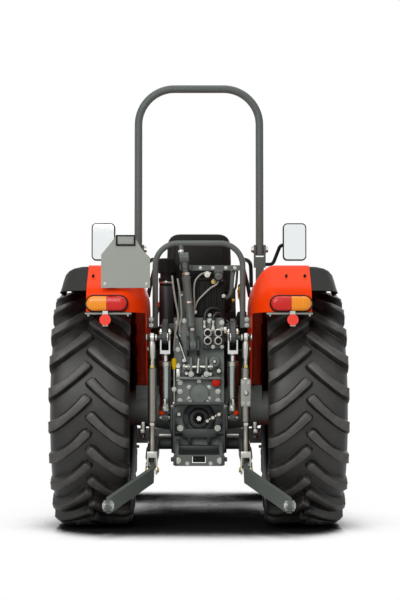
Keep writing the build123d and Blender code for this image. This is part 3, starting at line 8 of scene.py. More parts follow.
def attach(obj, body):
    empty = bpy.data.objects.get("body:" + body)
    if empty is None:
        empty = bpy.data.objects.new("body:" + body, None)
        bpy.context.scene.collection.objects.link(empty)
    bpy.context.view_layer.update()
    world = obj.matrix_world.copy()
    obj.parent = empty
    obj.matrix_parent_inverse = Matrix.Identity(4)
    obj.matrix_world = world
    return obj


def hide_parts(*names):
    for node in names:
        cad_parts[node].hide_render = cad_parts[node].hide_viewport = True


# Farm tractor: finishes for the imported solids, and the pieces that they leave to the eye.
# Places are written in millimetres with y from the rear axle, as in the part's source.

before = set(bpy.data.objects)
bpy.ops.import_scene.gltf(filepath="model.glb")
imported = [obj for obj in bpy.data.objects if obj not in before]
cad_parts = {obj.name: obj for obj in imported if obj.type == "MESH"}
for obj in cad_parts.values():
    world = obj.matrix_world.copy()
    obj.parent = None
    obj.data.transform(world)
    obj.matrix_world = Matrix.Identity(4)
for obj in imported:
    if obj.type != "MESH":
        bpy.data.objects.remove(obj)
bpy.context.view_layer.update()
REAR_AXLE_Y = -935.0
REAR_AXLE_Z = 670.0
REAR_TYRE_X = 590.0
FRONT_AXLE_Y = 2150.0
FRONT_AXLE_Z = 435.0
FRONT_TYRE_X = 600.0
SIDES = (("left", -1), ("right", 1))
REARWARD = (0, -1, 0)
FORWARD = (0, 1, 0)
UPWARD = (0, 0, 1)


def at(x, y, z):
    """Point in metres from millimetres, y from the rear axle."""
    return Vector((x, y + REAR_AXLE_Y, z)) / 1000


def round_about(x, y, z, radius, count, axes="XZ", first=0.0):
    """Points evenly round a circle about a place (millimetres), in the plane of two axes."""
    for i in range(count):
        angle = first + 2 * pi * i / count
        spot = {"X": x, "Y": y, "Z": z}
        spot[axes[0]] += radius * cos(angle)
        spot[axes[1]] += radius * sin(angle)
        yield at(spot["X"], spot["Y"], spot["Z"])


def colour(code):
    """sRGB hex to linear RGBA."""
    channels = [int(code[i:i + 2], 16) / 255 for i in (1, 3, 5)]
    return [c / 12.92 if c <= 0.04045 else ((c + 0.055) / 1.055) ** 2.4 for c in channels] + [1.0]


def per_mm(size):
    """Texture scale of a feature this many millimetres across, in coordinates of metres."""
    return 1000.0 / size


def add(tree, kind, inputs=None, **settings):
    """Add a shader node, with its settings, and each input as a value or a socket to link."""
    node = tree.nodes.new("ShaderNode" + kind)
    for key, value in settings.items():
        setattr(node, key, value)
    for key, value in (inputs or {}).items():
        if isinstance(value, bpy.types.NodeSocket):
            tree.links.new(value, node.inputs[key])
        else:
            node.inputs[key].default_value = value
    return node


def blank(name):
    """Empty node material and its tree."""
    material = bpy.data.materials.new(name)
    material.use_nodes = True
    material.node_tree.nodes.clear()
    return material, material.node_tree


def in_place(name):
    """Empty node material, its tree, and the object's own coordinates in metres."""
    material, tree = blank(name)
    return material, tree, add(tree, "TexCoord").outputs["Object"]


def clouded(tree, place, size_mm, base, shade, **noise):
    """Two tones that drift into each other over patches of that size: the drift and the colour."""
    drift = add(tree, "TexNoise", {"Vector": place, "Scale": per_mm(size_mm), **noise}).outputs["Fac"]
    tint = add(tree, "MixRGB", {"Fac": drift, "Color1": colour(base), "Color2": colour(shade)})
    return drift, tint.outputs["Color"]


def relief(tree, height, strength, edge_mm):
    """Normal of a surface with rounded edges and a fine relief on it."""
    edge = add(tree, "Bevel", {"Radius": edge_mm / 1000}, samples=4)
    bump = add(tree, "Bump", {"Height": height, "Normal": edge.outputs["Normal"], "Strength": strength,
                              "Distance": 0.001})
    return bump.outputs["Normal"]


def ranged(tree, value, low, high):
    """A pattern from 0 to 1, spread over another range."""
    return add(tree, "MapRange", {"Value": value, "To Min": low, "To Max": high}).outputs["Result"]


def surfaced(material, tree, **inputs):
    """Close a material with one shader; the names of its inputs are written with _ for a space."""
    shader = add(tree, "BsdfPrincipled", {name.replace("_", " "): value for name, value in inputs.items()})
    add(tree, "OutputMaterial", {"Surface": shader.outputs["BSDF"]})
    return material


def baked_enamel(name, base, shade, roughness, coat):
    """Enamel sprayed and baked on steel: even colour, faint orange peel, edges rounded by the paint."""
    material, tree, place = in_place(name)
    tint = clouded(tree, place, 260, base, shade, Detail=3.0)[1]
    # real orange peel is 1 to 2 mm, drawn at 7 mm so that it shows at this distance
    peel = add(tree, "TexNoise", {"Vector": place, "Scale": per_mm(7), "Detail": 1.0}).outputs["Fac"]
    return surfaced(material, tree, Base_Color=tint, Roughness=roughness, Coat_Weight=coat,
                    Coat_Roughness=0.08,
                    Specular_IOR_Level=0.1, Normal=relief(tree, peel, 0.04, 2.5))


def painted_casting(name, base, shade, roughness):
    """Sand-cast iron under thin paint: pebbled skin, patchy tone, generous edge radii."""
    material, tree, place = in_place(name)
    patch, tint = clouded(tree, place, 90, base, shade, Detail=5.0, Roughness=0.6)
    # sand grain is under 1 mm, drawn at 4 mm so that it shows
    sand = add(tree, "TexNoise", {"Vector": place, "Scale": per_mm(4), "Detail": 2.0}).outputs["Fac"]
    return surfaced(material, tree, Base_Color=tint, Normal=relief(tree, sand, 0.25, 5),
                    Roughness=ranged(tree, patch, roughness - 0.1, roughness + 0.12))


def tread_rubber(name, base, dusty):
    """Moulded tyre rubber: dull black with a grey bloom, mould scuffs and dust in patches."""
    material, tree, place = in_place(name)
    bloom = add(tree, "TexNoise", {"Vector": place, "Scale": per_mm(70), "Detail": 6.0, "Roughness": 0.65})
    bloom = bloom.outputs["Fac"]
    dust = add(tree, "MapRange", {"Value": bloom, "From Min": 0.42, "From Max": 0.72})
    tint = add(tree, "MixRGB", {"Fac": dust.outputs["Result"], "Color1": colour(base),
                                "Color2": colour(dusty)})
    scuff = add(tree, "TexNoise", {"Vector": place, "Scale": per_mm(5), "Detail": 3.0}).outputs["Fac"]
    return surfaced(material, tree, Base_Color=tint.outputs["Color"],
                    Roughness=ranged(tree, bloom, 0.36, 0.62),
                    IOR=1.52, Normal=relief(tree, scuff, 0.18, 4))


def plated_steel(name, base, shade, low, high):
    """Plated or bare steel: a metal sheen broken by the plating's cloudy grain."""
    material, tree, place = in_place(name)
    cloud, tint = clouded(tree, place, 14, base, shade, Detail=4.0)
    edge = add(tree, "Bevel", {"Radius": 0.001}, samples=4)
    return surfaced(material, tree, Base_Color=tint, Metallic=1.0, Roughness=ranged(tree, cloud, low, high),
                    Normal=edge.outputs["Normal"])


def moulded_plastic(name, base, shade, roughness, grain_mm, grain):
    """Injection-moulded plastic: the mould's etched grain gives a soft, broken highlight."""
    material, tree, place = in_place(name)
    tint = clouded(tree, place, 120, base, shade, Detail=3.0)[1]
    etched = add(tree, "TexVoronoi", {"Vector": place, "Scale": per_mm(grain_mm)}).outputs["Distance"]
    return surfaced(material, tree, Base_Color=tint, Roughness=roughness, IOR=1.49, Specular_IOR_Level=0.12,
                    Normal=relief(tree, etched, grain, 3))


def lamp_lens(name, base, deep, rib_mm):
    """Moulded acrylic lens: clear gloss outside, upright prism ribs that break the colour inside."""
    material, tree, place = in_place(name)
    ribs = add(tree, "TexWave", {"Vector": place, "Scale": per_mm(rib_mm * 2 * pi)}, bands_direction="X")
    ribs = ribs.outputs["Fac"]
    tint = add(tree, "MixRGB", {"Fac": ranged(tree, ribs, 0.0, 0.3), "Color1": colour(base),
                                "Color2": colour(deep)})
    bump = add(tree, "Bump", {"Height": ribs, "Strength": 0.12, "Distance": 0.002})
    return surfaced(material, tree, Base_Color=tint.outputs["Color"], Roughness=0.25, IOR=1.49,
                    Specular_IOR_Level=0.3, Coat_Weight=0.25, Coat_Roughness=0.03,
                    Normal=bump.outputs["Normal"])


def silvered_glass(name):
    """Mirror glass: silvered behind, with the faint ripple of rolled glass."""
    material, tree, place = in_place(name)
    ripple = add(tree, "TexNoise", {"Vector": place, "Scale": per_mm(80)}).outputs["Fac"]
    bump = add(tree, "Bump", {"Height": ripple, "Strength": 0.02, "Distance": 0.002})
    return surfaced(material, tree, Base_Color=colour("#E9EDED"), Metallic=1.0, Roughness=0.03,
                    Normal=bump.outputs["Normal"])


ORANGE = baked_enamel("orange_baked_enamel", "#FF4303", "#F63C02", 0.38, 0.0)
GREY = baked_enamel("grey_baked_enamel", "#666C68", "#5B615D", 0.42, 0.15)
PALE_GREY = baked_enamel("pale_grey_sheet_enamel", "#A5A8A0", "#9CA098", 0.5, 0.0)
CASTING = painted_casting("grey_painted_casting", "#78807B", "#646B67", 0.5)
DARK_CASTING = painted_casting("dark_painted_casting", "#333736", "#262928", 0.5)
RUBBER = tread_rubber("moulded_tyre_rubber", "#171513", "#2C2824")
# lug tops in a lighter grey rubber: painted highlight, the light that falls on the tops drawn into their
# colour
LUG_TOP_PAINTED_LIGHT_RUBBER = tread_rubber("lug_top_painted_highlight_rubber", "#3A3835", "#55524D")
HOSE = tread_rubber("extruded_hose_rubber", "#161616", "#232322")
ZINC = plated_steel("bright_zinc_steel", "#C4C4BC", "#9FA099", 0.22, 0.42)
DULL_ZINC = plated_steel("weathered_zinc_steel", "#8E8B84", "#75726B", 0.32, 0.5)
SILVERED = plated_steel("silver_lacquered_steel", "#A6ACA9", "#8F9592", 0.2, 0.3)
YELLOW_ZINC = plated_steel("yellow_chromate_steel", "#C2AC6C", "#A08B52", 0.25, 0.45)
GROUND_STEEL = plated_steel("ground_bright_steel", "#DADBDA", "#C4C6C6", 0.1, 0.2)
SCORCHED = plated_steel("heat_dulled_steel", "#4B4743", "#3A332D", 0.5, 0.7)
BLACK_PLASTIC = moulded_plastic("black_moulded_polypropylene", "#1A1917", "#141412", 0.5, 3.0, 0.12)
VINYL = moulded_plastic("black_grained_vinyl", "#19191A", "#141415", 0.42, 4.0, 0.35)
MAT = moulded_plastic("ribbed_rubber_mat", "#1B1B1A", "#242322", 0.7, 9.0, 0.5)
YELLOW_GRIP = moulded_plastic("yellow_dipped_pvc", "#FFD21A", "#F5C410", 0.4, 3.0, 0.08)
PALE_CABLE = moulded_plastic("pale_grey_cable_pvc", "#B5B7B0", "#A2A49D", 0.45, 3.0, 0.08)
RED_CAP = moulded_plastic("red_moulded_cap", "#D8281A", "#C01F12", 0.4, 3.0, 0.08)
RED_LENS = lamp_lens("red_acrylic_lens", "#DC1408", "#8E0804", 7.0)
AMBER_LENS = lamp_lens("amber_acrylic_lens", "#FF9A10", "#DE6C04", 7.0)
REFLECTOR = lamp_lens("red_prism_reflector", "#FF4632", "#D82414", 4.0)
CLEAR_LENS = lamp_lens("clear_fluted_lens", "#E4E9EB", "#AEB6BA", 9.0)
MIRROR = silvered_glass("silvered_mirror_glass")

NODE_FINISH = {
    ORANGE: ["fender_left", "fender_right", "hood", "rear_rim_left", "rear_rim_right", "front_rim_left",
             "front_rim_right"],
    GREY: ["rops_posts", "rops_hoop", "rear_arch", "lower_link_left", "lower_link_right", "drawbar_frame",
           "lift_rods", "lift_cylinder_barrels", "top_link", "seat_base"],
    PALE_GREY: ["sign_plate"],
    CASTING: ["transmission_housing", "clutch_housing", "rear_axle_housings", "front_axle", "knuckle_left",
              "knuckle_right", "engine_block"],
    DARK_CASTING: ["front_frame", "hitch_brackets", "top_link_bracket", "remote_couplers", "pto_guard",
                   "lift_arms", "radiator"],
    RUBBER: ["rear_tyre_left", "rear_tyre_right", "front_tyre_left", "front_tyre_right"],
    ZINC: ["reflector_strips", "steering_cylinder"],
    GROUND_STEEL: ["lift_cylinder_rods", "pto_shaft"],
    SCORCHED: ["exhaust"],
    BLACK_PLASTIC: ["fender_extensions", "dash_cowl", "mirror_housings", "fuel_tank", "fuel_filler", "grille",
                    "steering_wheel"],
    VINYL: ["seat_cushion", "seat_back"],
    MAT: ["platform"],
    RED_LENS: ["rear_lamps_red"],
    AMBER_LENS: ["rear_lamps_amber"],
    REFLECTOR: ["reflectors"],
    CLEAR_LENS: ["head_lamps"],
    MIRROR: ["mirror_glass"],
}
for finish, names in NODE_FINISH.items():
    for node_name in names:
        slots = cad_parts[node_name].data.materials
        slots.clear()
        slots.append(finish)


def new_piece(name, bm, body, *finishes, stands_for=(), crease=35):
    """Mesh piece that rides on a body. Edges sharper than crease degrees stay sharp."""
    bmesh.ops.recalc_face_normals(bm, faces=bm.faces)
    mesh = bpy.data.meshes.new(name)
    bm.to_mesh(mesh)
    bm.free()
    for finish in finishes:
        mesh.materials.append(finish)
    mesh.shade_smooth()
    mesh.set_sharp_from_angle(angle=radians(crease))
    piece = bpy.data.objects.new(name, mesh)
    bpy.context.scene.collection.objects.link(piece)
    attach(piece, body)
    if stands_for:
        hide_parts(*stands_for)
    return piece


def grid(bm, rows, closed_across=False, closed_along=False, finish=0):
    """Quads between rows of points, each row as long as the next; finish may be listed by column."""
    points = [[bm.verts.new(p) for p in row] for row in rows]
    last_row = len(points) if closed_along else len(points) - 1
    across = len(points[0]) if closed_across else len(points[0]) - 1
    for i in range(last_row):
        for j in range(across):
            here, there = points[i], points[(i + 1) % len(points)]
            k = (j + 1) % len(here)
            shade = finish[j] if isinstance(finish, list) else finish
            bm.faces.new((here[j], here[k], there[k], there[j])).material_index = shade
    return points


def capped(bm, rows, finish=0):
    """Closed skin through rings of points, with a face at each end."""
    points = grid(bm, rows, closed_across=True, finish=finish)
    for ring in (points[0], points[-1]):
        bm.faces.new(ring).material_index = finish


def turned(bm, start, axis, profile, steps=32, finish=0, turn=0.0):
    """Solid of revolution with closed ends: profile is (along the axis, radius) in millimetres from start."""
    facing = Vector(axis).normalized().to_track_quat("Z", "Y").to_matrix()
    rows = []
    for along, radius in profile:
        ring = []
        for i in range(steps):
            angle = 2 * pi * i / steps + turn
            ring.append(start + facing @ Vector((radius * cos(angle), radius * sin(angle), along)) / 1000)
        rows.append(ring)
    capped(bm, rows, finish)


def bar(bm, start, end, radius, edge=1.5, steps=24, finish=0):
    """Round bar with chamfered ends, points in metres and sizes in millimetres."""
    length = (end - start).length * 1000
    turned(bm, start, end - start, [(0, radius - edge), (edge, radius), (length - edge, radius),
                                    (length, radius - edge)], steps, finish)


def bolt(bm, seat, axis, across, finish=0):
    """Hex bolt head on a washer."""
    flats = across / sqrt(3)
    turned(bm, seat, axis, [(0, across * 0.95), (across * 0.14, across * 0.95)], 20, finish)
    head = across * 0.75
    turned(bm, seat + Vector(axis).normalized() * across * 0.14 / 1000, axis,
           [(0, flats), (head * 0.8, flats), (head, flats * 0.8)], 6, finish)


def join(bm, part, finish):
    """Add a finished part to a mesh in the making, all its faces in one finish."""
    for face in part.faces:
        face.material_index = finish
    mesh = bpy.data.meshes.new("part")
    part.to_mesh(mesh)
    part.free()
    bm.from_mesh(mesh)
    bpy.data.meshes.remove(mesh)


def slab(bm, low, high, edge, finish=0, turn=None):
    """Block between two corners (millimetres) with its edges rounded, turned about its middle."""
    part = bmesh.new()
    made = bmesh.ops.create_cube(part, size=1.0)["verts"]
    low, high = Vector(low), Vector(high)
    bmesh.ops.transform(part, matrix=Matrix.Diagonal((*((high - low) / 1000), 1.0)), verts=made)
    bmesh.ops.bevel(part, geom=part.edges[:], offset=edge / 1000, segments=3, profile=0.5, affect="EDGES")
    place = Matrix.Translation(at(*((high + low) / 2)))
    bmesh.ops.transform(part, matrix=place @ turn.to_4x4() if turn else place, verts=part.verts[:])
    join(bm, part, finish)


def plate(bm, outline, low, high, along="Y", edge=1.5, finish=0):
    """Flat plate: outline in the other two axes (millimetres), spread along one axis, edges rounded."""
    place = {"X": lambda a, b, c: at(c, a, b), "Y": lambda a, b, c: at(a, c, b), "Z": at}[along]
    part = bmesh.new()
    face = part.faces.new([part.verts.new(place(a, b, low)) for a, b in outline])
    made = bmesh.ops.extrude_face_region(part, geom=[face])["geom"]
    far = [v for v in made if isinstance(v, bmesh.types.BMVert)]
    bmesh.ops.translate(part, vec=place(0, 0, high) - place(0, 0, low), verts=far)
    bmesh.ops.recalc_face_normals(part, faces=part.faces[:])
    bmesh.ops.bevel(part, geom=part.edges[:], offset=edge / 1000, segments=2, profile=0.5, affect="EDGES")
    join(bm, part, finish)


def hose(name, points, radius, finish, body="chassis", smooth=True):
    """Held hose, pipe or wire: a round line through its points (millimetres)."""
    line = bpy.data.curves.new(name, "CURVE")
    line.dimensions = "3D"
    line.bevel_depth = radius / 1000
    line.bevel_resolution = 4
    line.use_fill_caps = True
    spline = line.splines.new("NURBS" if smooth else "POLY")
    spline.points.add(len(points) - 1)
    for knot, point in zip(spline.points, points):
        knot.co = (*at(*point), 1.0)
    if smooth:
        spline.order_u = 3
        spline.use_endpoint_u = True
        spline.resolution_u = 8
    line.materials.append(finish)
    piece = bpy.data.objects.new(name, line)
    bpy.context.scene.collection.objects.link(piece)
    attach(piece, body)
    return piece


class Carcass:
    """Half section of a tyre, followed by its length from the tread's middle out over the sidewall."""

    def __init__(self, section):
        self.section = [Vector(p) for p in section]
        self.lengths = [0.0]
        for a, b in zip(self.section, self.section[1:]):
            self.lengths.append(self.lengths[-1] + (b - a).length)

    def point(self, along):
        """Place and outward normal (lateral, radial) at a length; a negative length is on the other half."""
        side = 1.0 if along >= 0 else -1.0
        along = min(abs(along), self.lengths[-1] - 0.01)
        i = max(k for k, length in enumerate(self.lengths[:-1]) if length <= along)
        share = (along - self.lengths[i]) / (self.lengths[i + 1] - self.lengths[i])
        here = self.section[i].lerp(self.section[i + 1], share)
        run = self.section[min(i + 2, len(self.section) - 1)] - self.section[max(i - 1, 0)]
        normal = Vector((-run.y, run.x)).normalized()
        if normal.y < 0 and normal.x < 0:
            normal = -normal
        return Vector((here.x * side, here.y)), Vector((normal.x * side, normal.y))


LUG_FIRST = radians(6.4)


def lugged_tyre(name, body, centre, node, size, lugs, hand):
    """Bar-lug tyre. size holds the section, the lug's top radius, reach, widths and sweep in millimetres."""
    carcass = Carcass(size["tread"])
    bm = bmesh.new()
    half = size["tread"] + size["sidewall"]
    section = [(-x, r) for x, r in reversed(half[1:])] + half
    rows = []
    rounds = 144
    for i in range(rounds):
        angle = 2 * pi * i / rounds
        rows.append([centre + Vector((x, -r * cos(angle), r * sin(angle))) / 1000 for x, r in section])
    grid(bm, rows, closed_along=True)
    reach = size["reach"]
    # along the lug: share of its reach, share of its width, share of its height
    stations = [(-0.045, 0.45, 0.0), (-0.03, 0.62, 0.8), (-0.01, 0.86, 0.99), (0.02, 1.0, 1.0)]
    stations += [(0.02 + 0.83 * i / 12, 1.0, 1.0) for i in range(1, 13)]
    stations += [(0.9, 1.0, 0.9), (0.95, 0.98, 0.55), (1.0, 0.95, 0.0)]
    for lug in range(lugs * 2):
        side = -hand if lug % 2 else hand
        start = LUG_FIRST + pi * lug / lugs
        rows = []
        for share, wide, tall in stations:
            along = size["nose"] + share * reach
            sweep = size["sweep"][0] * along - size["sweep"][1] * along * along
            slope = size["sweep"][0] - 2 * size["sweep"][1] * along
            cross = Vector((-slope, 1.0)).normalized()
            low, mid, out = size["widths"]
            top = (low + (mid - low) * min(1, share / 0.4) if share < 0.4 else
                   mid + (out - mid) * (share - 0.4) / 0.6) / 2 * wide
            foot = top + size["flank"]
            row = []
            for q, lift in ((-foot, -0.12), (-top - 4, 0.5), (-top, 0.94), (-top + 4, 1.0), (top - 4, 1.0),
                            (top, 0.94), (top + 4, 0.5), (foot, -0.12)):
                a = along + q * cross.x
                v = sweep + q * cross.y
                place, normal = carcass.point(a)
                crown = size["top"] - size["crown"] * (place.x / size["shoulder"]) ** 2
                height = max(min(crown - place.y, size["depth"]), 6.0) * tall * lift
                spot = place + normal * height
                spot.x = min(spot.x, size["half"]) if spot.x > 0 else max(spot.x, -size["half"])
                angle = start - v / size["top"]
                row.append(centre + Vector((side * spot.x, -spot.y * cos(angle), spot.y * sin(angle))) / 1000)
            rows.append(row)
        # the faces across each lug's top take the second, lighter rubber: painted highlight on the lug tops
        points = grid(bm, rows, finish=[0, 0, 1, 1, 1, 0, 0])
        bm.faces.new(points[0])
        bm.faces.new(points[-1])
    return new_piece(name, bm, body, RUBBER, LUG_TOP_PAINTED_LIGHT_RUBBER, stands_for=[node], crease=50)


REAR_TYRE = {
    "tread": [(0, 628), (45, 627.5), (90, 626), (135, 622), (166, 615), (184, 606), (197, 592), (206, 572),
              (210, 548)],
    "sidewall": [(211.5, 530), (214.5, 527), (214.5, 521), (212, 518), (211.5, 500), (209, 470), (204, 440),
                 (196, 418), (193, 412), (186, 410), (181, 402), (175, 388), (168, 380), (158, 376)],
    "half": 215.0, "top": 669.0, "crown": 11.0, "shoulder": 184.0, "depth": 44.0, "nose": 8.0, "reach": 238.0,
    "sweep": (1.16, 0.0014), "widths": (46.0, 38.0, 52.0), "flank": 13.0,
}
FRONT_TYRE = {
    "tread": [(0, 404), (40, 403.5), (75, 401), (100, 396), (118, 388), (130, 376), (138, 360)],
    "sidewall": [(142, 345), (144.5, 342), (144.5, 338), (143, 335), (143.5, 315), (139, 290), (130, 270),
                 (126, 266), (118, 258), (112, 250), (108, 245)],
    "half": 149.0, "top": 434.0, "crown": 9.0, "shoulder": 120.0, "depth": 30.0, "nose": 7.0, "reach": 160.0,
    "sweep": (1.16, 0.0022), "widths": (34.0, 27.0, 38.0), "flank": 10.0,
}
for label, sign in SIDES:
    lugged_tyre(f"rear_tyre_tread_{label}", f"rear_wheel_{label}", at(sign * REAR_TYRE_X, 0, REAR_AXLE_Z),
                f"rear_tyre_{label}", REAR_TYRE, 22, sign)
    lugged_tyre(f"front_tyre_tread_{label}", f"front_wheel_{label}",
                at(sign * FRONT_TYRE_X, FRONT_AXLE_Y, FRONT_AXLE_Z), f"front_tyre_{label}", FRONT_TYRE, 18,
                sign)


def rear_case():
    """Rear housing's face: bolted cover, oil plug, linkage under the top link, ribs and fittings."""
    bm = bmesh.new()
    iron, dark, zinc, red, black = range(5)
    face = -250
    turned(bm, at(0, -254, 758), REARWARD, [(0, 56), (5, 56), (7, 52), (3, 47), (3, 20), (6, 0.5)], 40, iron)
    for spot in round_about(0, face, 758, 64, 6, first=pi / 6):
        bolt(bm, spot, REARWARD, 12, zinc)
    for x in (-106, 106):
        for z in (714, 766, 816):
            bolt(bm, at(x, face, z), REARWARD, 15, zinc)
    for x in (-50, 50):
        bolt(bm, at(x, face, 712), REARWARD, 12, zinc)
    turned(bm, at(95, face, 815), REARWARD, [(0, 14), (14, 14), (14, 23), (18, 25), (34, 23), (38, 17),
                                             (38, 6)], 16, red)
    # two cast cheeks with their cross pins, levers and a spring housing
    for x in (-52, 34):
        plate(bm, [(x, 846), (x + 16, 846), (x + 14, 956), (x + 2, 956)], -308, -248, "Y", 3, iron)
        bolt(bm, at(x + 8, -308, 862), REARWARD, 16, zinc)
    bar(bm, at(-92, -292, 902), at(78, -292, 902), 11, 2, 20, zinc)
    for x in (-88, -64, 60):
        turned(bm, at(x, -292, 902), (1, 0, 0), [(0, 17), (10, 17)], 6, zinc)
    bar(bm, at(-8, -312, 866), at(-2, -312, 950), 9, 2, 16, zinc)
    turned(bm, at(-18, -292, 880), (1, 0, 0), [(0, 20), (3, 23), (31, 23), (34, 20)], 24, dark)
    turned(bm, at(86, -250, 932), REARWARD, [(0, 30), (48, 30), (54, 26), (54, 17), (62, 15)], 28, iron)
    turned(bm, at(86, -312, 932), REARWARD, [(0, 12), (6, 12), (10, 8)], 6, zinc)
    slab(bm, (-128, -278, 822), (-104, -250, 892), 4, zinc)
    for x, z, size in ((-116, 906, 22), (-84, 938, 18), (-70, 866, 16), (62, 862, 18), (110, 880, 20),
                       (20, 846, 14)):
        turned(bm, at(x, face, z), REARWARD, [(0, size), (16, size), (20, size * 0.7), (34, size * 0.6)], 6,
               zinc)
    plate(bm, [(-130, 832), (126, 832), (118, 848), (-122, 848)], -296, -240, "Y", 3, iron)
    # draft-sensing levers beside the rockshaft case, and its cap screws
    for x, z in ((-118, 1000), (-118, 1150), (-84, 1160), (60, 1160), (128, 1150), (-118, 1075)):
        bolt(bm, at(x, face, z), REARWARD, 14, zinc)
    bar(bm, at(-110, -266, 1040), at(-72, -280, 930), 7, 1.5, 16, zinc)
    bar(bm, at(-128, -262, 1110), at(-96, -272, 1020), 6, 1.5, 16, black)
    slab(bm, (138, -292, 1088), (157, -256, 1124), 4, zinc)
    bar(bm, at(136, -270, 1106), at(150, -270, 1106), 9, 1.5, 12, zinc)
    # lower casting that carries the drawbar, with two feet
    plate(bm, [(-124, 588), (-78, 560), (78, 560), (124, 588), (124, 548), (92, 508), (66, 508), (60, 474),
               (46, 474), (42, 508), (-42, 508), (-46, 474), (-60, 474), (-66, 508), (-92, 508), (-124, 548)],
          -282, -240, "Y", 4, dark)
    for x in (-104, 104):
        bolt(bm, at(x, -282, 562), REARWARD, 18, zinc)
    turned(bm, at(-112, -240, 639), REARWARD, [(0, 16), (16, 16), (22, 11), (26, 11)], 6, zinc)
    new_piece("rear_case_fittings", bm, "chassis", CASTING, DARK_CASTING, ZINC, RED_CAP, BLACK_PLASTIC)


SHAFT_Z = 616.0


def power_take_off():
    """Splined stub, its dark bearing cap and seal, the guard's hinge fittings and the drawbar's hangers."""
    bm = bmesh.new()
    teeth, tip, root, length = 6, 17.3, 14.2, 64
    rows = []
    for along, shrink in ((0, 3.0), (4, 0.0), (length - 5, 0.0), (length, 3.0)):
        ring = []
        for i in range(teeth * 4):
            radius = (tip if i % 4 in (0, 1) else root) - shrink
            angle = 2 * pi * i / (teeth * 4)
            ring.append(at(radius * cos(angle), -249 - along, SHAFT_Z + radius * sin(angle)))
        rows.append(ring)
    capped(bm, rows)
    turned(bm, at(0, -247, SHAFT_Z), REARWARD, [(0, 16), (2.5, 17), (4, 16)], 24)
    new_piece("pto_spline", bm, "pto_shaft", GROUND_STEEL, stands_for=["pto_shaft"], crease=25)

    bm = bmesh.new()
    dark, rubber, zinc = range(3)
    turned(bm, at(0, -240, SHAFT_Z), REARWARD, [(0, 92), (8, 92), (12, 86), (12, 60), (22, 56), (26, 50),
                                                (26, 34), (14, 30), (14, 20)], 48, dark)
    turned(bm, at(0, -254, SHAFT_Z), REARWARD, [(0, 33), (9, 33), (11, 30), (11, 24), (6, 19)], 36, rubber)
    for spot in round_about(0, -252, SHAFT_Z, 74, 8, first=pi / 8):
        bolt(bm, spot, REARWARD, 11, dark)
    for x, y, z, size in ((46, -356, 604, 15), (76, -356, 622, 17), (110, -356, 640, 18)):
        turned(bm, at(x, y + 40, z), REARWARD, [(0, size * 0.7), (14, size), (30, size), (34, size * 0.8),
                                                (44, size * 0.8), (50, size * 0.55)], 12, zinc)
    bar(bm, at(36, -330, 598), at(126, -330, 650), 8, 1.5, 14, zinc)
    bar(bm, at(110, -330, 640), at(110, -242, 640), 8, 1.5, 14, zinc)
    for side in (-1, 1):
        plate(bm, [(-416, 428), (-396, 428), (-380, 694), (-400, 694)], side * 138 - 4, side * 138 + 4, "X",
              1.5, dark)
        bolt(bm, at(side * 142, -390, 684), (side, 0, 0), 15, zinc)
        bolt(bm, at(side * 129, -470, 404), (side, 0, 0), 18, zinc)
        bar(bm, at(side * 128, -520, 402), at(side * 152, -520, 402), 12, 2, 16, dark)
        bolt(bm, at(side * 112, -650, 402), REARWARD, 17, zinc)
        bolt(bm, at(side * 62, -650, 386), REARWARD, 11, zinc)
        slab(bm, (side * 128 - 9, -656, 376), (side * 128 + 9, -630, 430), 5, dark)
    plate(bm, [(-120, 452), (120, 452), (128, 470), (-128, 470)], -420, -240, "Y", 2, dark)
    plate(bm, [(-33, 392), (33, 392), (33, 422), (-33, 422)], -636, -560, "Y", 2, rubber)
    new_piece("power_take_off_fittings", bm, "chassis", DARK_CASTING, BLACK_PLASTIC, ZINC)


def remote_valves():
    """Four remote couplers: knurled zinc sleeves, dust caps with their pull rings, and pressure hoses."""
    bm = bmesh.new()
    zinc, black, iron = range(3)
    for x in (48, 107):
        for z in (1046, 1090):
            turned(bm, at(x, -300, z), REARWARD, [(0, 23), (6, 23), (8, 21), (26, 21), (28, 23.5), (40, 23.5),
                                                  (43, 20), (43, 15)], 28, zinc)
            turned(bm, at(x, -341, z), REARWARD, [(0, 16), (4, 16.5), (8, 13), (8, 6), (12, 4)], 24, black)
            for front, back in zip(round_about(x, -329, z, 23.5, 10), round_about(x, -339, z, 23.5, 10)):
                bar(bm, front, back, 2.2, 0.5, 6, zinc)
    for x in (78, 128):
        for z in (1014, 1112):
            bolt(bm, at(x, -300, z), REARWARD, 11, zinc)
    for x in (30, 79):
        turned(bm, at(x, -276, 1120), UPWARD, [(0, 13), (10, 13), (10, 9), (24, 9), (28, 12), (40, 12)], 6,
               zinc)
    slab(bm, (20, -296, 1000), (138, -262, 1010), 3, iron)
    new_piece("remote_coupler_sleeves", bm, "chassis", ZINC, BLACK_PLASTIC, DARK_CASTING)
    hose("coupler_hose_left", [(30, -276, 1158), (30, -278, 1200), (66, -262, 1236), (120, -240, 1222),
                               (146, -214, 1196)], 9, HOSE)
    hose("coupler_hose_right", [(79, -276, 1158), (80, -280, 1188), (108, -268, 1208), (140, -244, 1176),
                                (148, -216, 1150)], 9, HOSE)


def hand_lever():
    """Position lever with its yellow grip, on a bracket beside the housing."""
    bm = bmesh.new()
    zinc, grip, dark = range(3)
    foot, top = at(-139, -262, 778), at(-139, -272, 896)
    bar(bm, foot, top, 5.5, 1, 14, zinc)
    turned(bm, top - Vector((0, 0, 0.006)), at(-139, -276, 960) - top, [
        (0, 7), (2, 9.5), (14, 12), (30, 14.5), (48, 14.5), (58, 11), (62, 5)], 24, grip)
    slab(bm, (-149, -276, 766), (-129, -236, 790), 4, dark)
    bolt(bm, at(-139, -276, 778), REARWARD, 14, zinc)
    bar(bm, at(-139, -262, 778), at(-138, -262, 700), 4.5, 1, 12, zinc)
    slab(bm, (-148, -272, 690), (-130, -240, 706), 3, zinc)
    new_piece("position_lever", bm, "chassis", ZINC, YELLOW_GRIP, DARK_CASTING)


rear_case()
power_take_off()
remote_valves()
hand_lever()


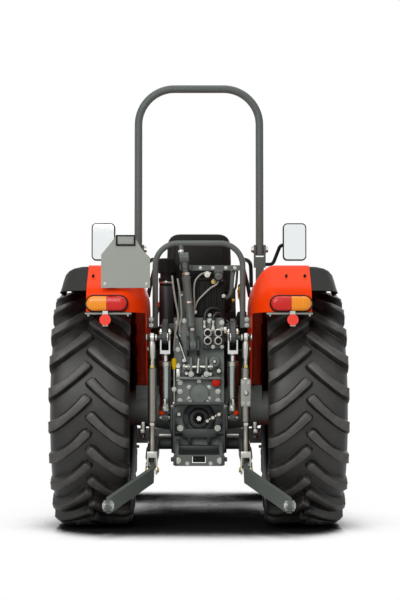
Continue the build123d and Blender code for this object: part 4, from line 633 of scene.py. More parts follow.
ARM_END_Y, ARM_END_Z = -470.0, 1060.0
CYLINDER_X = 188.0
CYLINDER_FOOT = (-270.0, 620.0)
LINK_PIVOT = (-100.0, 470.0)
STABILISER_PIN = (-392.0, 360.0)


def lift_rod(bm, side, finishes):
    """Lift rod in its CAD place: forged eye, threaded shank, sleeve or levelling box, bright lower fork."""
    grey, zinc, yellow, pale = finishes
    top, foot = at(side * 255, ARM_END_Y, ARM_END_Z), at(side * 255, -450, 340)
    down = (foot - top).normalized()
    across = Vector((1, 0, 0))

    def on(distance):
        return top + down * distance / 1000

    turned(bm, top - across * 0.012, across, [(0, 22), (3, 26), (21, 26), (24, 22)], 28, zinc)
    turned(bm, on(18), down, [(0, 17), (26, 20), (90, 19), (104, 13), (190, 13)], 24, zinc)
    for i in range(9):
        turned(bm, on(128 + i * 6), down, [(0, 13), (2, 14.8), (4, 14.8), (6, 13)], 20, zinc)
    turned(bm, on(150), down, [(0, 19), (16, 19)], 6, yellow)
    turned(bm, on(164), down, [(0, 18), (6, 24.5), (292, 24.5), (300, 18)], 28, grey)
    turned(bm, on(462), down, [(0, 22), (16, 22)], 6, zinc)
    turned(bm, on(476), down, [(0, 17), (80, 17), (86, 19), (164, 19)], 24, grey)
    lean = Vector((0, 0, -1)).rotation_difference(down).to_matrix()
    if side > 0:
        middle = on(300)
        size = Vector((27, 27, 75))
        centre = middle * 1000 - Vector((0, REAR_AXLE_Y, 0))
        slab(bm, centre - size, centre + size, 5, pale, lean)
        for z in (-56, 56):
            for x in (-15, 15):
                spot = middle + lean @ Vector((x, -27, z)) / 1000
                bolt(bm, spot, lean @ Vector(REARWARD), 9, zinc)
        turned(bm, on(212), down, [(0, 20), (8, 25), (14, 25)], 24, zinc)
        turned(bm, middle + lean @ Vector((0, -27, 0)) / 1000, lean @ Vector(REARWARD),
               [(0, 13), (8, 13), (12, 9)], 20, zinc)
    bridge = on(636) * 1000 - Vector((0, REAR_AXLE_Y, 0))
    slab(bm, bridge - Vector((29, 20, 18)), bridge + Vector((29, 20, 18)), 4, zinc, lean)
    for x in (-24, 24):
        tine = on(686) * 1000 - Vector((-x, REAR_AXLE_Y, 0))
        slab(bm, tine - Vector((5, 20, 55)), tine + Vector((5, 20, 55)), 3, zinc, lean)
        turned(bm, foot + across * (x - 5) / 1000, across, [(0, 22), (2, 24), (8, 24), (10, 22)], 28, zinc)
        outward = 1 if x > 0 else -1
        turned(bm, foot + across * (x + outward * 5) / 1000, across * outward, [(0, 15), (7, 15), (9, 12)], 6,
               yellow)


def lift_linkage():
    """Lift rods, cylinder glands and hoses, arm bosses, and the links' ball ends and stabilisers."""
    bm = bmesh.new()
    for side in (-1, 1):
        lift_rod(bm, side, range(4))
    new_piece("lift_rod_assemblies", bm, "lift_rods", DULL_ZINC, ZINC, YELLOW_ZINC, PALE_GREY,
              stands_for=["lift_rods"])

    barrels, pistons, arms, fixed = bmesh.new(), bmesh.new(), bmesh.new(), bmesh.new()
    for side in (-1, 1):
        base = at(side * CYLINDER_X, *CYLINDER_FOOT)
        eye = at(side * CYLINDER_X, -307, 1094)
        up = (eye - base).normalized()
        turned(barrels, base + up * 0.286, up, [(0, 30), (2, 33), (26, 33), (28.6, 29), (28.6, 17)], 28, 1)
        turned(barrels, base + up * 0.034, up, [(0, 24), (6, 33), (26, 33), (32, 31)], 28, 1)
        turned(barrels, base + up * 0.06, up, [(0, 30.6), (226, 30.6)], 32, 0)
        port = base + up * 0.075
        turned(barrels, port, REARWARD, [(26, 12), (40, 12), (40, 9), (50, 9)], 6, 1)
        turned(barrels, port + Vector((0, -0.05, 0)), (0, -0.3, 1), [(0, 11), (26, 11), (30, 8)], 6, 1)
        for outward in (-1, 1):
            turned(fixed, at(side * CYLINDER_X + outward * 20, *CYLINDER_FOOT), (outward, 0, 0),
                   [(0, 17), (4, 17), (4, 12), (10, 11)], 20, 0)
        turned(arms, at(side * 203, -190, 1120), (side, 0, 0), [(0, 40), (6, 40), (9, 34), (9, 10)], 32, 0)
        for spot in round_about(side * 209, -190, 1120, 22, 3, "YZ", 0.5):
            bolt(arms, spot, (side, 0, 0), 10, 1)
        turned(arms, at(side * 227, ARM_END_Y, ARM_END_Z), (side, 0, 0),
               [(0, 12.5), (4, 19), (10, 19), (12, 14)], 24, 1)
        turned(arms, at(side * 283, ARM_END_Y, ARM_END_Z), (side, 0, 0), [(0, 19), (4, 20), (8, 16)], 24, 1)
        turned(arms, at(side * 174, ARM_END_Y, ARM_END_Z), (-side, 0, 0),
               [(0, 26), (5, 26), (9, 20), (14, 12)], 24, 1)
        turned(pistons, eye - up * 0.129, up, [(0, 17), (4, 22), (9, 22)], 24, 0)
        for outward in (-1, 1):
            turned(pistons, eye + Vector((outward * 0.028, 0, 0)), (outward, 0, 0),
                   [(0, 13), (5, 13), (8, 10)], 6, 1)
    new_piece("cylinder_glands", barrels, "lift_barrels", SILVERED, ZINC)
    new_piece("clevis_nuts", pistons, "lift_pistons", ZINC, YELLOW_ZINC)
    new_piece("arm_caps", arms, "lift_arms", DARK_CASTING, ZINC)
    new_piece("cylinder_pin_clips", fixed, "chassis", ZINC)

    for label, side in SIDES:
        bm = bmesh.new()
        grey, zinc, yellow = range(3)
        ball = at(side * 470, -850, 180)
        for outward in (-1, 1):
            start = ball + Vector((outward * 0.0225, 0, 0))
            turned(bm, start, (outward, 0, 0), [(-10, 30), (-2, 30), (2, 28), (2, 24), (-3, 22)], 36, zinc)
        rows = []
        for i in range(11):
            across = -30 + 6 * i
            radius = sqrt(max(33 ** 2 - (across * 0.82) ** 2, 0.0)) * 0.72
            rows.append([ball + Vector((across, radius * cos(2 * pi * j / 32),
                                        radius * sin(2 * pi * j / 32))) / 1000 for j in range(32)])
        inner = [[ball + Vector((side_x, 14.6 * cos(2 * pi * j / 32), 14.6 * sin(2 * pi * j / 32))) / 1000
                  for j in range(32)] for side_x in (30, -30)]
        grid(bm, rows + inner, closed_across=True, closed_along=True, finish=zinc)
        turned(bm, at(side * 247, *LINK_PIVOT), (side, 0, 0), [(0, 24), (6, 26), (12, 26), (14, 20)], 28,
               zinc)
        # stabiliser: its front eye turns about the link's own pivot, its rear pin is through the link
        front, rear = at(side * 276, -118, 462), at(side * 278, *STABILISER_PIN)
        line = rear - front
        turned(bm, at(side * 262, *LINK_PIVOT), (side, 0, 0), [(0, 24), (3, 27), (25, 27), (28, 24)], 28,
               zinc)
        turned(bm, front, line, [(0, 14), (40, 14), (46, 18), (62, 18)], 20, zinc)
        turned(bm, front + line * 0.2, line, [(0, 17), (4, 20), (118, 20), (122, 17)], 24, grey)
        turned(bm, front + line * 0.62, line, [(0, 18), (16, 18)], 6, yellow)
        turned(bm, front + line * 0.66, line, [(0, 12), (88, 12)], 20, zinc)
        turned(bm, at(side * 264, *STABILISER_PIN), (side, 0, 0), [(0, 20), (24, 20), (28, 16)], 24, zinc)
        turned(bm, at(side * 244, *STABILISER_PIN), (-side, 0, 0), [(0, 17), (8, 17), (10, 12)], 6, yellow)
        new_piece(f"link_ends_{label}", bm, f"lower_link_{label}", GREY, ZINC, YELLOW_ZINC)

    bm = bmesh.new()
    dark, zinc, yellow, orange = range(4)
    for side in (-1, 1):
        plate(bm, [(-20, 600), (-84, 580), (-150, 520), (-156, 496), (-120, 496), (-60, 520), (-14, 556)],
              side * 308 - 6, side * 308 + 6, "X", 2, dark)
        bolt(bm, at(side * 314, -132, 510), (side, 0, 0), 20, zinc)
        turned(bm, at(side * 302, -132, 510), (-side, 0, 0), [(-1, 18), (0.5, 18), (1, 14)], 20, yellow)
        slab(bm, (side * 319 - 17, -200, 528), (side * 319 + 17, -150, 556), 8, zinc)
        slab(bm, (side * 316 - 13, -176, 552), (side * 316 + 13, -150, 596), 6, zinc)
        turned(bm, at(side * 204, -282, 706), (0, 0, -1), [(0, 15), (26, 15), (30, 12), (46, 12)], 20, zinc)
        turned(bm, at(side * 204, -282, 660), (0, 0, -1), [(0, 14), (4, 18), (20, 18), (24, 14)], 24, orange)
        low, high = sorted((side * 140, side * 212))
        slab(bm, (low, -296, 640), (high, -268, 652), 3, dark)
    new_piece("stabiliser_brackets", bm, "chassis", DARK_CASTING, ZINC, YELLOW_ZINC, ORANGE)


def arch_fittings():
    """What fills the arch behind the seat: relay box, trailer socket, filler clamps, wiring and pipes."""
    bm = bmesh.new()
    black, zinc, grey, yellow, brown = range(5)
    slab(bm, (-34, -236, 1178), (148, -126, 1392), 9, black)
    for x in (-10, 22, 54, 86, 118):
        slab(bm, (x, -241, 1196), (x + 14, -232, 1372), 3, black)
    slab(bm, (-20, -244, 1384), (132, -120, 1400), 6, black)
    bolt(bm, at(82, -243, 1380), REARWARD, 14, yellow)
    for x, z in ((-22, 1210), (138, 1300), (60, 1192)):
        bolt(bm, at(x, -240, z), REARWARD, 11, zinc)
    # trailer socket: hinged lid on a dark collar
    turned(bm, at(109, -315, 1405), REARWARD, [(0, 24), (4, 27), (10, 27), (12, 24), (12, 20)], 32, black)
    turned(bm, at(109, -326, 1405), REARWARD, [(0, 22), (6, 22), (10, 18), (11, 8), (16, 6)], 32, grey)
    slab(bm, (96, -336, 1426), (122, -314, 1440), 3, grey)
    # buzzer and flasher on the cross plate
    turned(bm, at(46, -278, 1416), REARWARD, [(0, 19), (18, 19), (22, 15), (22, 6), (30, 5)], 24, zinc)
    for x in (30, 62):
        turned(bm, at(x, -278, 1424), REARWARD, [(0, 7), (16, 7), (18, 5)], 12, zinc)
    for x in (8, 78, 150, 200):
        bolt(bm, at(x, -278, 1455), REARWARD, 10, zinc)
    for side in (-1, 1):
        for z in (1134, 1166):
            bolt(bm, at(side * 266, -305, z), REARWARD, 13, zinc)
    # filler neck: knurled cap, two band clamps, rubber sleeve
    x, y = -187, -55
    for low, high in zip(round_about(x, y, 1450, 47, 20, "XY"), round_about(x, y, 1508, 47, 20, "XY")):
        bar(bm, low, high, 4, 1.5, 8, black)
    turned(bm, at(x, y, 1514), UPWARD, [(0, 46), (6, 46), (10, 38), (10, 20), (8, 4)], 36, black)
    for z in (1380, 1050):
        turned(bm, at(x, y, z), UPWARD, [(0, 40), (0.5, 42.5), (14, 42.5), (14.5, 40)], 36, zinc)
        slab(bm, (x - 8, y - 52, z), (x + 8, y - 40, z + 13), 2, zinc)
    turned(bm, at(x, y, 1030), UPWARD, [(0, 44), (4, 46), (40, 46), (44, 42), (330, 41), (334, 40)], 36,
           brown)
    # stowed link's clip pin and the knob at the top of the arch
    turned(bm, at(-100, -292, 1543), REARWARD, [(0, 9), (8, 14), (18, 16), (28, 12), (32, 5)], 24, zinc)
    bar(bm, at(-100, -275, 1543), at(-100, -296, 1543), 8, 1, 14, zinc)
    slab(bm, (-112, -288, 1530), (-88, -270, 1590), 3, grey)
    new_piece("arch_fittings", bm, "chassis", BLACK_PLASTIC, ZINC, GREY, YELLOW_ZINC, HOSE)

    hose("wiring_left", [(-150, -262, 1412), (-148, -268, 1380), (-132, -276, 1270), (-112, -280, 1180),
                         (-128, -272, 1110), (-138, -256, 1040), (-140, -250, 990)], 5.5, PALE_CABLE)
    hose("wiring_inner", [(-120, -268, 1395), (-108, -284, 1330), (-98, -284, 1240), (-96, -276, 1180),
                          (-110, -266, 1130), (-104, -256, 1090)], 5, PALE_CABLE)
    hose("wiring_right", [(20, -278, 1425), (-18, -282, 1400), (-30, -282, 1340), (-24, -278, 1256),
                          (-30, -262, 1196), (-28, -246, 1150)], 4.5, PALE_CABLE)
    hose("socket_lead", [(109, -285, 1385), (104, -270, 1362), (70, -262, 1350), (18, -262, 1300),
                         (-16, -262, 1262), (-22, -250, 1226)], 5, PALE_CABLE)
    hose("return_pipe", [(196, -244, 1446), (188, -250, 1420), (184, -250, 1370), (182, -244, 1320),
                         (166, -224, 1294), (144, -196, 1286)], 12, GREY)
    hose("return_hose", [(214, -262, 1446), (212, -262, 1400), (208, -260, 1362), (202, -250, 1334),
                         (178, -226, 1326), (144, -182, 1326)], 7, HOSE)
    hose("drain_hose", [(-205, -40, 1030), (-212, -90, 1000), (-206, -180, 940), (-176, -232, 880),
                        (-152, -244, 830)], 10, HOSE)
    hose("vent_pipe", [(-166, -236, 600), (-170, -262, 640), (-168, -262, 740), (-158, -250, 800)], 6, HOSE)


lift_linkage()
arch_fittings()


def rounded(points, radius, steps=8, legs=6):
    """Open line through the points: every inner corner eased by a curve, every leg cut into short pieces."""
    points = [Vector(p) for p in points]
    path, last = [], points[0]
    for before, corner, after in zip(points, points[1:], points[2:]):
        back, on = before - corner, after - corner
        cut = min(radius / tan(back.angle(on) / 2), 0.45 * back.length, 0.45 * on.length)
        start, end = corner + back.normalized() * cut, corner + on.normalized() * cut
        path += [last.lerp(start, i / legs) for i in range(legs)]
        for i in range(steps):
            t = i / steps
            path.append(start.lerp(corner, t).lerp(corner.lerp(end, t), t))
        last = end
    return path + [last.lerp(points[-1], i / legs) for i in range(legs + 1)]


def evenly(points, count):
    """Straight legs through the points, as that many points evenly spaced along them."""
    points = [Vector(p) for p in points]
    lengths = [0.0]
    for a, b in zip(points, points[1:]):
        lengths.append(lengths[-1] + (b - a).length)
    spread, leg = [], 0
    for i in range(count):
        want = lengths[-1] * i / (count - 1)
        while leg < len(points) - 2 and lengths[leg + 1] < want:
            leg += 1
        spread.append(points[leg].lerp(points[leg + 1],
                                       (want - lengths[leg]) / (lengths[leg + 1] - lengths[leg])))
    return spread


def thicken(bm, thickness):
    """Gives an open skin a back face that many millimetres behind it, and closes the rim between them."""
    bmesh.ops.recalc_face_normals(bm, faces=bm.faces[:])
    bm.normal_update()
    skin, rim = bm.faces[:], [e.link_loops[0] for e in bm.edges if e.is_boundary]
    rim = [(loop.vert, loop.link_loop_next.vert) for loop in rim]
    back = {v: bm.verts.new(v.co - v.normal * thickness / 1000) for v in bm.verts[:]}
    for face in skin:
        bm.faces.new([back[v] for v in reversed(face.verts)]).material_index = face.material_index
    for a, b in rim:
        bm.faces.new((b, a, back[a], back[b]))


FENDER_LINE = [(715, 800), (655, 1130), (385, 1456), (-490, 1456), (-690, 1306), (-690, 1190)]
WALL_LINE = [(520, 800), (480, 1070), (300, 1240), (-380, 1240), (-474, 1215), (-474, 1190)]
WALL_FOOT = [(520, 796), (-250, 796), (-474, 1186)]
COVER_LIP = [(500, 1085), (310, 1288), (-400, 1290), (-560, 1296)]
WHEEL_ROOM = 697.0


def fender_shells():
    """Pressed fenders with a rolled inner shoulder, and their moulded outer extensions."""
    crown, wall = rounded(FENDER_LINE, 95), rounded(WALL_LINE, 60)
    foot = evenly(WALL_FOOT, len(wall))
    shoulder = [(600, 0), (560, 0), (500, 0), (440, 0)]
    shoulder += [(288 + 128 * (1 - cos(t)), 1 - sin(t)) for t in [radians(90 - 7.5 * i) for i in range(13)]]
    cover_crown, cover_lip = rounded(FENDER_LINE[1:5], 95), rounded(COVER_LIP, 60)
    cover = [(601, 0.04), (640, 0.05), (680, 0.1), (708, 0.18), (728, 0.31), (741, 0.5), (748, 0.74),
             (750, 0.94), (747, 0.99), (738, 1.0)]
    for label, side in SIDES:
        bm = bmesh.new()
        rows = []
        for high, low, ground in zip(crown, wall, foot):
            row = [Vector((x, *high.lerp(low, drop))) for x, drop in shoulder]
            row += [row[-1].lerp(Vector((288, *ground)), i / 6) for i in range(1, 7)]
            rows.append([at(side * p.x, p.y, p.z) for p in row])
        grid(bm, rows)
        thicken(bm, 4)
        new_piece(f"fender_shell_{label}", bm, "chassis", ORANGE, stands_for=[f"fender_{label}"])

        bm = bmesh.new()
        rows = []
        hub = Vector((0, REAR_AXLE_Z))
        for high, low in zip(cover_crown, cover_lip):
            row = []
            for x, drop in cover:
                spot = high.lerp(low, drop)
                if (spot - hub).length < WHEEL_ROOM:
                    spot = hub + (spot - hub).normalized() * WHEEL_ROOM
                row.append(at(side * x, spot.x, spot.y))
            rows.append(row)
        grid(bm, rows)
        thicken(bm, 4)
        stands_for = ["fender_extensions"] if side < 0 else []
        new_piece(f"fender_extension_{label}", bm, "chassis", BLACK_PLASTIC, stands_for=stands_for)

        bm = bmesh.new()
        zinc, black, pale = range(3)
        for y, z in ((-20, 900), (-20, 980), (-20, 1080), (-20, 1160), (330, 900), (330, 1100), (-300, 1000)):
            bolt(bm, at(side * 287, y, z), (-side, 0, 0), 16, zinc)
        for x in (470, 570):
            bar(bm, at(side * x, -580, 1380), at(side * x, -592, 1396), 7, 1, 16, black)
        slab(bm, (min(side * 360, side * 606), -700, 1178), (max(side * 360, side * 606), -640, 1187), 3,
             pale)
        for x in (378, 588):
            bolt(bm, at(side * x, -680, 1178), (0, 0, -1), 11, zinc)
        bolt(bm, at(side * 497, -712, 1166), REARWARD, 8, zinc)
        new_piece(f"fender_fastenings_{label}", bm, "chassis", ZINC, BLACK_PLASTIC, PALE_GREY)


def lens_half(bm, side, cut, far, finish):
    """Half of a tail lamp, crowned to the rear: flat joint at x = cut, rounded end at x = far."""
    low, high = 1195.0, 1275.0
    reach = 1 if far > cut else -1
    rows = []
    for depth, inset in ((690, 0), (708, 0), (716, 2), (722, 6), (726, 13), (728, 23)):
        radius = 39 - inset
        centre = Vector((far - reach * 39, (low + high) / 2))
        outline = [(cut, low + 1 + inset)]
        for i in range(17):
            angle = radians(-90 + 180 * i / 16)
            outline.append((centre.x + reach * radius * cos(angle), centre.y + radius * sin(angle)))
        outline.append((cut, high - 1 - inset))
        rows.append([at(side * x, -depth, z) for x, z in outline])
    capped(bm, rows, finish)


def lamps_and_sign():
    """Tail lamps in their bezels, the pocket on the blank sign, grab handles and the top link's sleeve."""
    for label, side in SIDES:
        bm = bmesh.new()
        lens_half(bm, side, 490.6, 598, 0)
        lens_half(bm, side, 489.4, 382, 1)
        bmesh.ops.recalc_face_normals(bm, faces=bm.faces[:])
        nodes = ["rear_lamps_red", "rear_lamps_amber"] if side < 0 else []
        new_piece(f"tail_lamp_{label}", bm, "chassis", AMBER_LENS, RED_LENS, stands_for=nodes, crease=50)

        bm = bmesh.new()
        rows = []
        for depth, out in ((688, 7), (700, 7), (706, 4), (706, -1), (692, -1)):
            ring = []
            for i in range(36):
                angle = 2 * pi * i / 36
                middle = 559 if cos(angle) > 0 else 421
                ring.append(at(side * (middle + (39 + out) * cos(angle)), -depth,
                               1235 + (39 + out) * sin(angle)))
            rows.append(ring)
        grid(bm, rows, closed_across=True, closed_along=True)
        bmesh.ops.recalc_face_normals(bm, faces=bm.faces[:])
        new_piece(f"tail_lamp_bezel_{label}", bm, "chassis", BLACK_PLASTIC)

        hose(f"grab_handle_{label}", [(side * x, y, z) for x, y, z in (
            (322, 640, 1400), (322, 640, 1520), (314, 632, 1556), (286, 560, 1566), (266, 490, 1560),
            (262, 462, 1530), (300, 440, 1380), (306, 436, 1330))], 12, BLACK_PLASTIC)

    bm = bmesh.new()
    black, pale, zinc = range(3)
    for low, high in (((-442, -713, 1542), (-338, -704, 1551)), ((-442, -713, 1593), (-338, -704, 1600)),
                      ((-442, -713, 1548), (-433, -704, 1596)), ((-347, -713, 1548), (-338, -704, 1596))):
        slab(bm, low, high, 2, black)
    slab(bm, (-434, -708, 1550), (-346, -704.5, 1594), 1, pale)
    for x, z in ((-500, 1340), (-280, 1340)):
        bolt(bm, at(x, -705, z), REARWARD, 8, zinc)
    new_piece("sign_pocket", bm, "chassis", BLACK_PLASTIC, PALE_GREY, ZINC)

    foot = at(-33, -330, 1020)
    lean = Vector((-sin(radians(5.8)), sin(radians(1.5)), 1)).normalized()
    bm = bmesh.new()
    turned(bm, foot + lean * 0.1, lean, [(0, 20), (4, 24.5), (20, 24.5), (24, 23), (262, 23), (266, 24.5),
                                         (284, 24.5), (288, 20)], 36, 0)
    for along in (0.082, 0.392):
        turned(bm, foot + lean * along, lean, [(0, 21), (15, 21)], 6, 1)
    turned(bm, foot + lean * 0.235, lean, [(0, 23), (1, 24), (9, 24), (10, 23)], 32, 1)
    new_piece("top_link_sleeve", bm, "top_link", GREY, ZINC)


fender_shells()
lamps_and_sign()


VOXEL = 0.006
SEAM_WIDTH, SEAM_DEPTH = 0.006, 0.0045
SWELL_FRAMES = 20


def padded_good(name, bm, node, held, cap_mm, seams):
    """Foam pad in a sewn cover: held at its base, swollen by cloth pressure, then drawn in at its seams."""
    scene = bpy.context.scene
    mesh = bpy.data.meshes.new(name + "_start")
    bmesh.ops.recalc_face_normals(bm, faces=bm.faces[:])
    bm.to_mesh(mesh)
    bm.free()
    rough = bpy.data.objects.new(name + "_start", mesh)
    scene.collection.objects.link(rough)
    remesh = rough.modifiers.new("even_skin", "REMESH")
    remesh.mode, remesh.voxel_size = "VOXEL", VOXEL
    skin = bpy.data.meshes.new_from_object(rough.evaluated_get(bpy.context.evaluated_depsgraph_get()))
    bpy.data.objects.remove(rough)
    pad = bpy.data.objects.new(name + "_pad", skin)
    scene.collection.objects.link(pad)
    start = [v.co.copy() for v in skin.vertices]
    group = pad.vertex_groups.new(name="held")
    group.add([i for i, p in enumerate(start) if held(p)], 1.0, "REPLACE")
    cloth = pad.modifiers.new("pressure", "CLOTH")
    cloth.settings.quality = 4
    cloth.settings.mass = 0.3
    cloth.settings.use_pressure = True
    cloth.settings.uniform_pressure_force = 4.0
    cloth.settings.vertex_group_mass = "held"
    cloth.settings.effector_weights.gravity = 0.0
    cloth.point_cache.frame_start, cloth.point_cache.frame_end = 1, SWELL_FRAMES
    for step in range(1, SWELL_FRAMES + 1):
        scene.frame_set(step)
    swollen = pad.evaluated_get(bpy.context.evaluated_depsgraph_get()).to_mesh()
    for vertex, new, old in zip(skin.vertices, swollen.vertices, start):
        move = new.co - old
        limit = cap_mm / 1000
        vertex.co = old + (move.normalized() * limit if move.length > limit else move)
    pad.modifiers.clear()
    scene.frame_set(1)
    normals = [v.normal.copy() for v in skin.vertices]
    for vertex, normal in zip(skin.vertices, normals):
        away = min(seam(vertex.co) for seam in seams)
        vertex.co -= normal * SEAM_DEPTH * 2.718 ** (-(away / SEAM_WIDTH) ** 2)
    bm = bmesh.new()
    bm.from_mesh(skin)
    bmesh.ops.smooth_vert(bm, verts=bm.verts[:], factor=0.4, use_axis_x=True, use_axis_y=True,
                          use_axis_z=True)
    bpy.data.objects.remove(pad)
    piece = new_piece(name, bm, "chassis", VINYL, stands_for=[node], crease=180)
    piece.modifiers.new("smooth_cover", "SUBSURF").levels = 1


def loop_outline(half_low, half_high, low, high, radius, inset=0.0):
    """Closed outline, narrower at the top, with rounded corners, as points across and up."""
    corners = [(-half_low + inset, low + inset), (half_low - inset, low + inset),
               (half_high - inset, high - inset),
               (-half_high + inset, high - inset)]
    middle = ((corners[0][0] + corners[1][0]) / 2, low + inset)
    line = rounded([middle, *corners[1:], corners[0], middle], radius - inset, 6, 3)
    return [tuple(p) for p in line[:-1]]


def seat():
    """Driver's seat: sewn vinyl cushion and backrest, piped edge whose light grey is a painted highlight
    along the vinyl's top, moulded back shell on the two stays.
    """
    bm = bmesh.new()
    plate(bm, loop_outline(203, 200, 108, 488, 60), 1081, 1160, "Z", 16)
    for side in (-1, 1):
        plate(bm, loop_outline(30, 28, 130, 470, 24), 1150, 1168, "Z", 8)
        moved = [v for v in bm.verts if 1.14 < v.co.z and abs(v.co.x) < 0.032]
        for vertex in moved:
            vertex.co.x += side * 0.165
    padded_good("seat_cushion_cover", bm, "seat_cushion", lambda p: p.z < 1.09, 20, (
        lambda p: abs(abs(p.x) - 0.122) + (0 if p.z > 1.14 else 1),
        lambda p: abs(p.y - at(0, 215, 0).y) + (0 if p.z > 1.14 and abs(p.x) < 0.122 else 1),
        lambda p: abs(p.y - at(0, 350, 0).y) + (0 if p.z > 1.14 and abs(p.x) < 0.122 else 1)))

    bm = bmesh.new()
    plate(bm, loop_outline(186, 172, 1214, 1664, 70), 60, 86, "Y", 9)
    front = at(0, 80, 0).y
    padded_good("seat_back_cover", bm, "seat_back", lambda p: p.y < at(0, 64, 0).y, 14, (
        lambda p: abs(abs(p.x) - 0.115) + (0 if p.y > front else 1),
        lambda p: abs(p.z - 1.36) + (0 if p.y > front and abs(p.x) < 0.115 else 1),
        lambda p: abs(p.z - 1.51) + (0 if p.y > front and abs(p.x) < 0.115 else 1)))

    bm = bmesh.new()
    shell, zinc = range(2)
    plate(bm, loop_outline(192, 178, 1208, 1672, 70), 38, 60, "Y", 9, shell)
    plate(bm, loop_outline(150, 138, 1370, 1630, 45), 33, 42, "Y", 4, shell)
    for z in (1262, 1316):
        for x in (-100, 100):
            bolt(bm, at(x, 8 + (1340 - z) * 0.19 - 11, z), REARWARD, 15, zinc)
    new_piece("seat_back_shell", bm, "chassis", BLACK_PLASTIC, ZINC)
    # light grey piping: painted highlight, standing for the sheen along the top edge of the black vinyl; the
    # cushion's edge is piped the same
    ring = [(x, 61, z) for x, z in loop_outline(190, 176, 1210, 1670, 70)]
    hose("seat_back_piping_painted_highlight", ring + ring[:1], 5, GREY, smooth=False)
    ring = [(x, y, 1086) for x, y in loop_outline(212, 210, 98, 497, 62)]
    hose("seat_cushion_piping", ring + ring[:1], 5, GREY, smooth=False)

    bm = bmesh.new()
    black, zinc, yellow = range(3)
    for side in (-1, 1):
        slab(bm, (side * 196 - 12, 120, 1040), (side * 196 + 12, 470, 1064), 4, black)
        slab(bm, (side * 158 - 20, 80, 932), (side * 158 + 20, 420, 950), 3, black)
        bolt(bm, at(side * 181, 180, 1066), (side, 0, 0), 12, zinc)
        bolt(bm, at(side * 181, 400, 1066), (side, 0, 0), 12, zinc)
    for i in range(7):
        z = 958 + i * 13
        slab(bm, (-150, 60, z), (150, 440, z + 7), 3, black)
    bar(bm, at(196, 470, 1052), at(196, 520, 1052), 7, 2, 16, zinc)
    turned(bm, at(196, 520, 1052), FORWARD, [(0, 9), (4, 14), (34, 14), (40, 8)], 20, yellow)
    new_piece("seat_suspension", bm, "chassis", BLACK_PLASTIC, ZINC, YELLOW_GRIP)


def wheel_fastenings():
    """Wheel nuts with washers, hub bolts and valve stems, turning with their wheels."""
    # end, place, the disc's face, nuts, their circle and width across, hub face, valve stem, hub boss
    sizes = (("rear", REAR_TYRE_X, 0, REAR_AXLE_Z, 21, 8, 116, 24, 70, 300, 59),
             ("front", FRONT_TYRE_X, FRONT_AXLE_Y, FRONT_AXLE_Z, 47, 6, 78, 20, 80, 190, 48))
    for end, x, y, z, face, nuts, circle, across, hub, stem, boss in sizes:
        for label, side in SIDES:
            bm = bmesh.new()
            zinc, black, dark = range(3)
            out = (side, 0, 0)
            for nut in round_about(side * (x + face), y, z, circle, nuts, "YZ"):
                turned(bm, nut, out, [(-1, across * 0.5), (0, across * 0.86), (4, across * 0.86),
                                      (5, across * 0.7)], 24, zinc)
                bolt(bm, nut + Vector(out) * 0.004, out, across, zinc)
                turned(bm, nut + Vector(out) * 0.016, out, [(0, across * 0.36), (12, across * 0.36),
                                                            (15, across * 0.28)], 16, zinc)
            for spot in round_about(side * (x + hub), y, z, boss - 16, 6, "YZ", 0.3):
                bolt(bm, spot, out, 13, zinc)
            turned(bm, at(side * (x + hub), y, z), out, [(-1, 24), (0, 26), (5, 24), (9, 12), (10, 2)], 28,
                   dark)
            bar(bm, at(side * (x + face - 26), y + 20, z + stem),
                at(side * (x + face + 14), y + 20, z + stem - 14), 4.5, 1, 12, zinc)
            bar(bm, at(side * (x + face + 13), y + 20, z + stem - 13.6),
                at(side * (x + face + 26), y + 20, z + stem - 18), 6, 2, 12, black)
            new_piece(f"{end}_wheel_nuts_{label}", bm, f"{end}_wheel_{label}", ZINC, BLACK_PLASTIC,
                      DARK_CASTING)


seat()
wheel_fastenings()


COLUMN_AXIS = Vector((0, -300, 250)).normalized()
POST_X = 379.0


def hand_knob(bm, foot, top, finish, steel, radius=13):
    """Bent control lever: a steel rod with a moulded knob on its top."""
    bar(bm, foot, top, 5.5, 1, 12, steel)
    up = (top - foot).normalized()
    turned(bm, top - up * 0.012, up, [(0, 7), (6, 10), (20, radius), (34, radius), (44, radius * 0.7),
                                      (48, 3)], 20, finish)


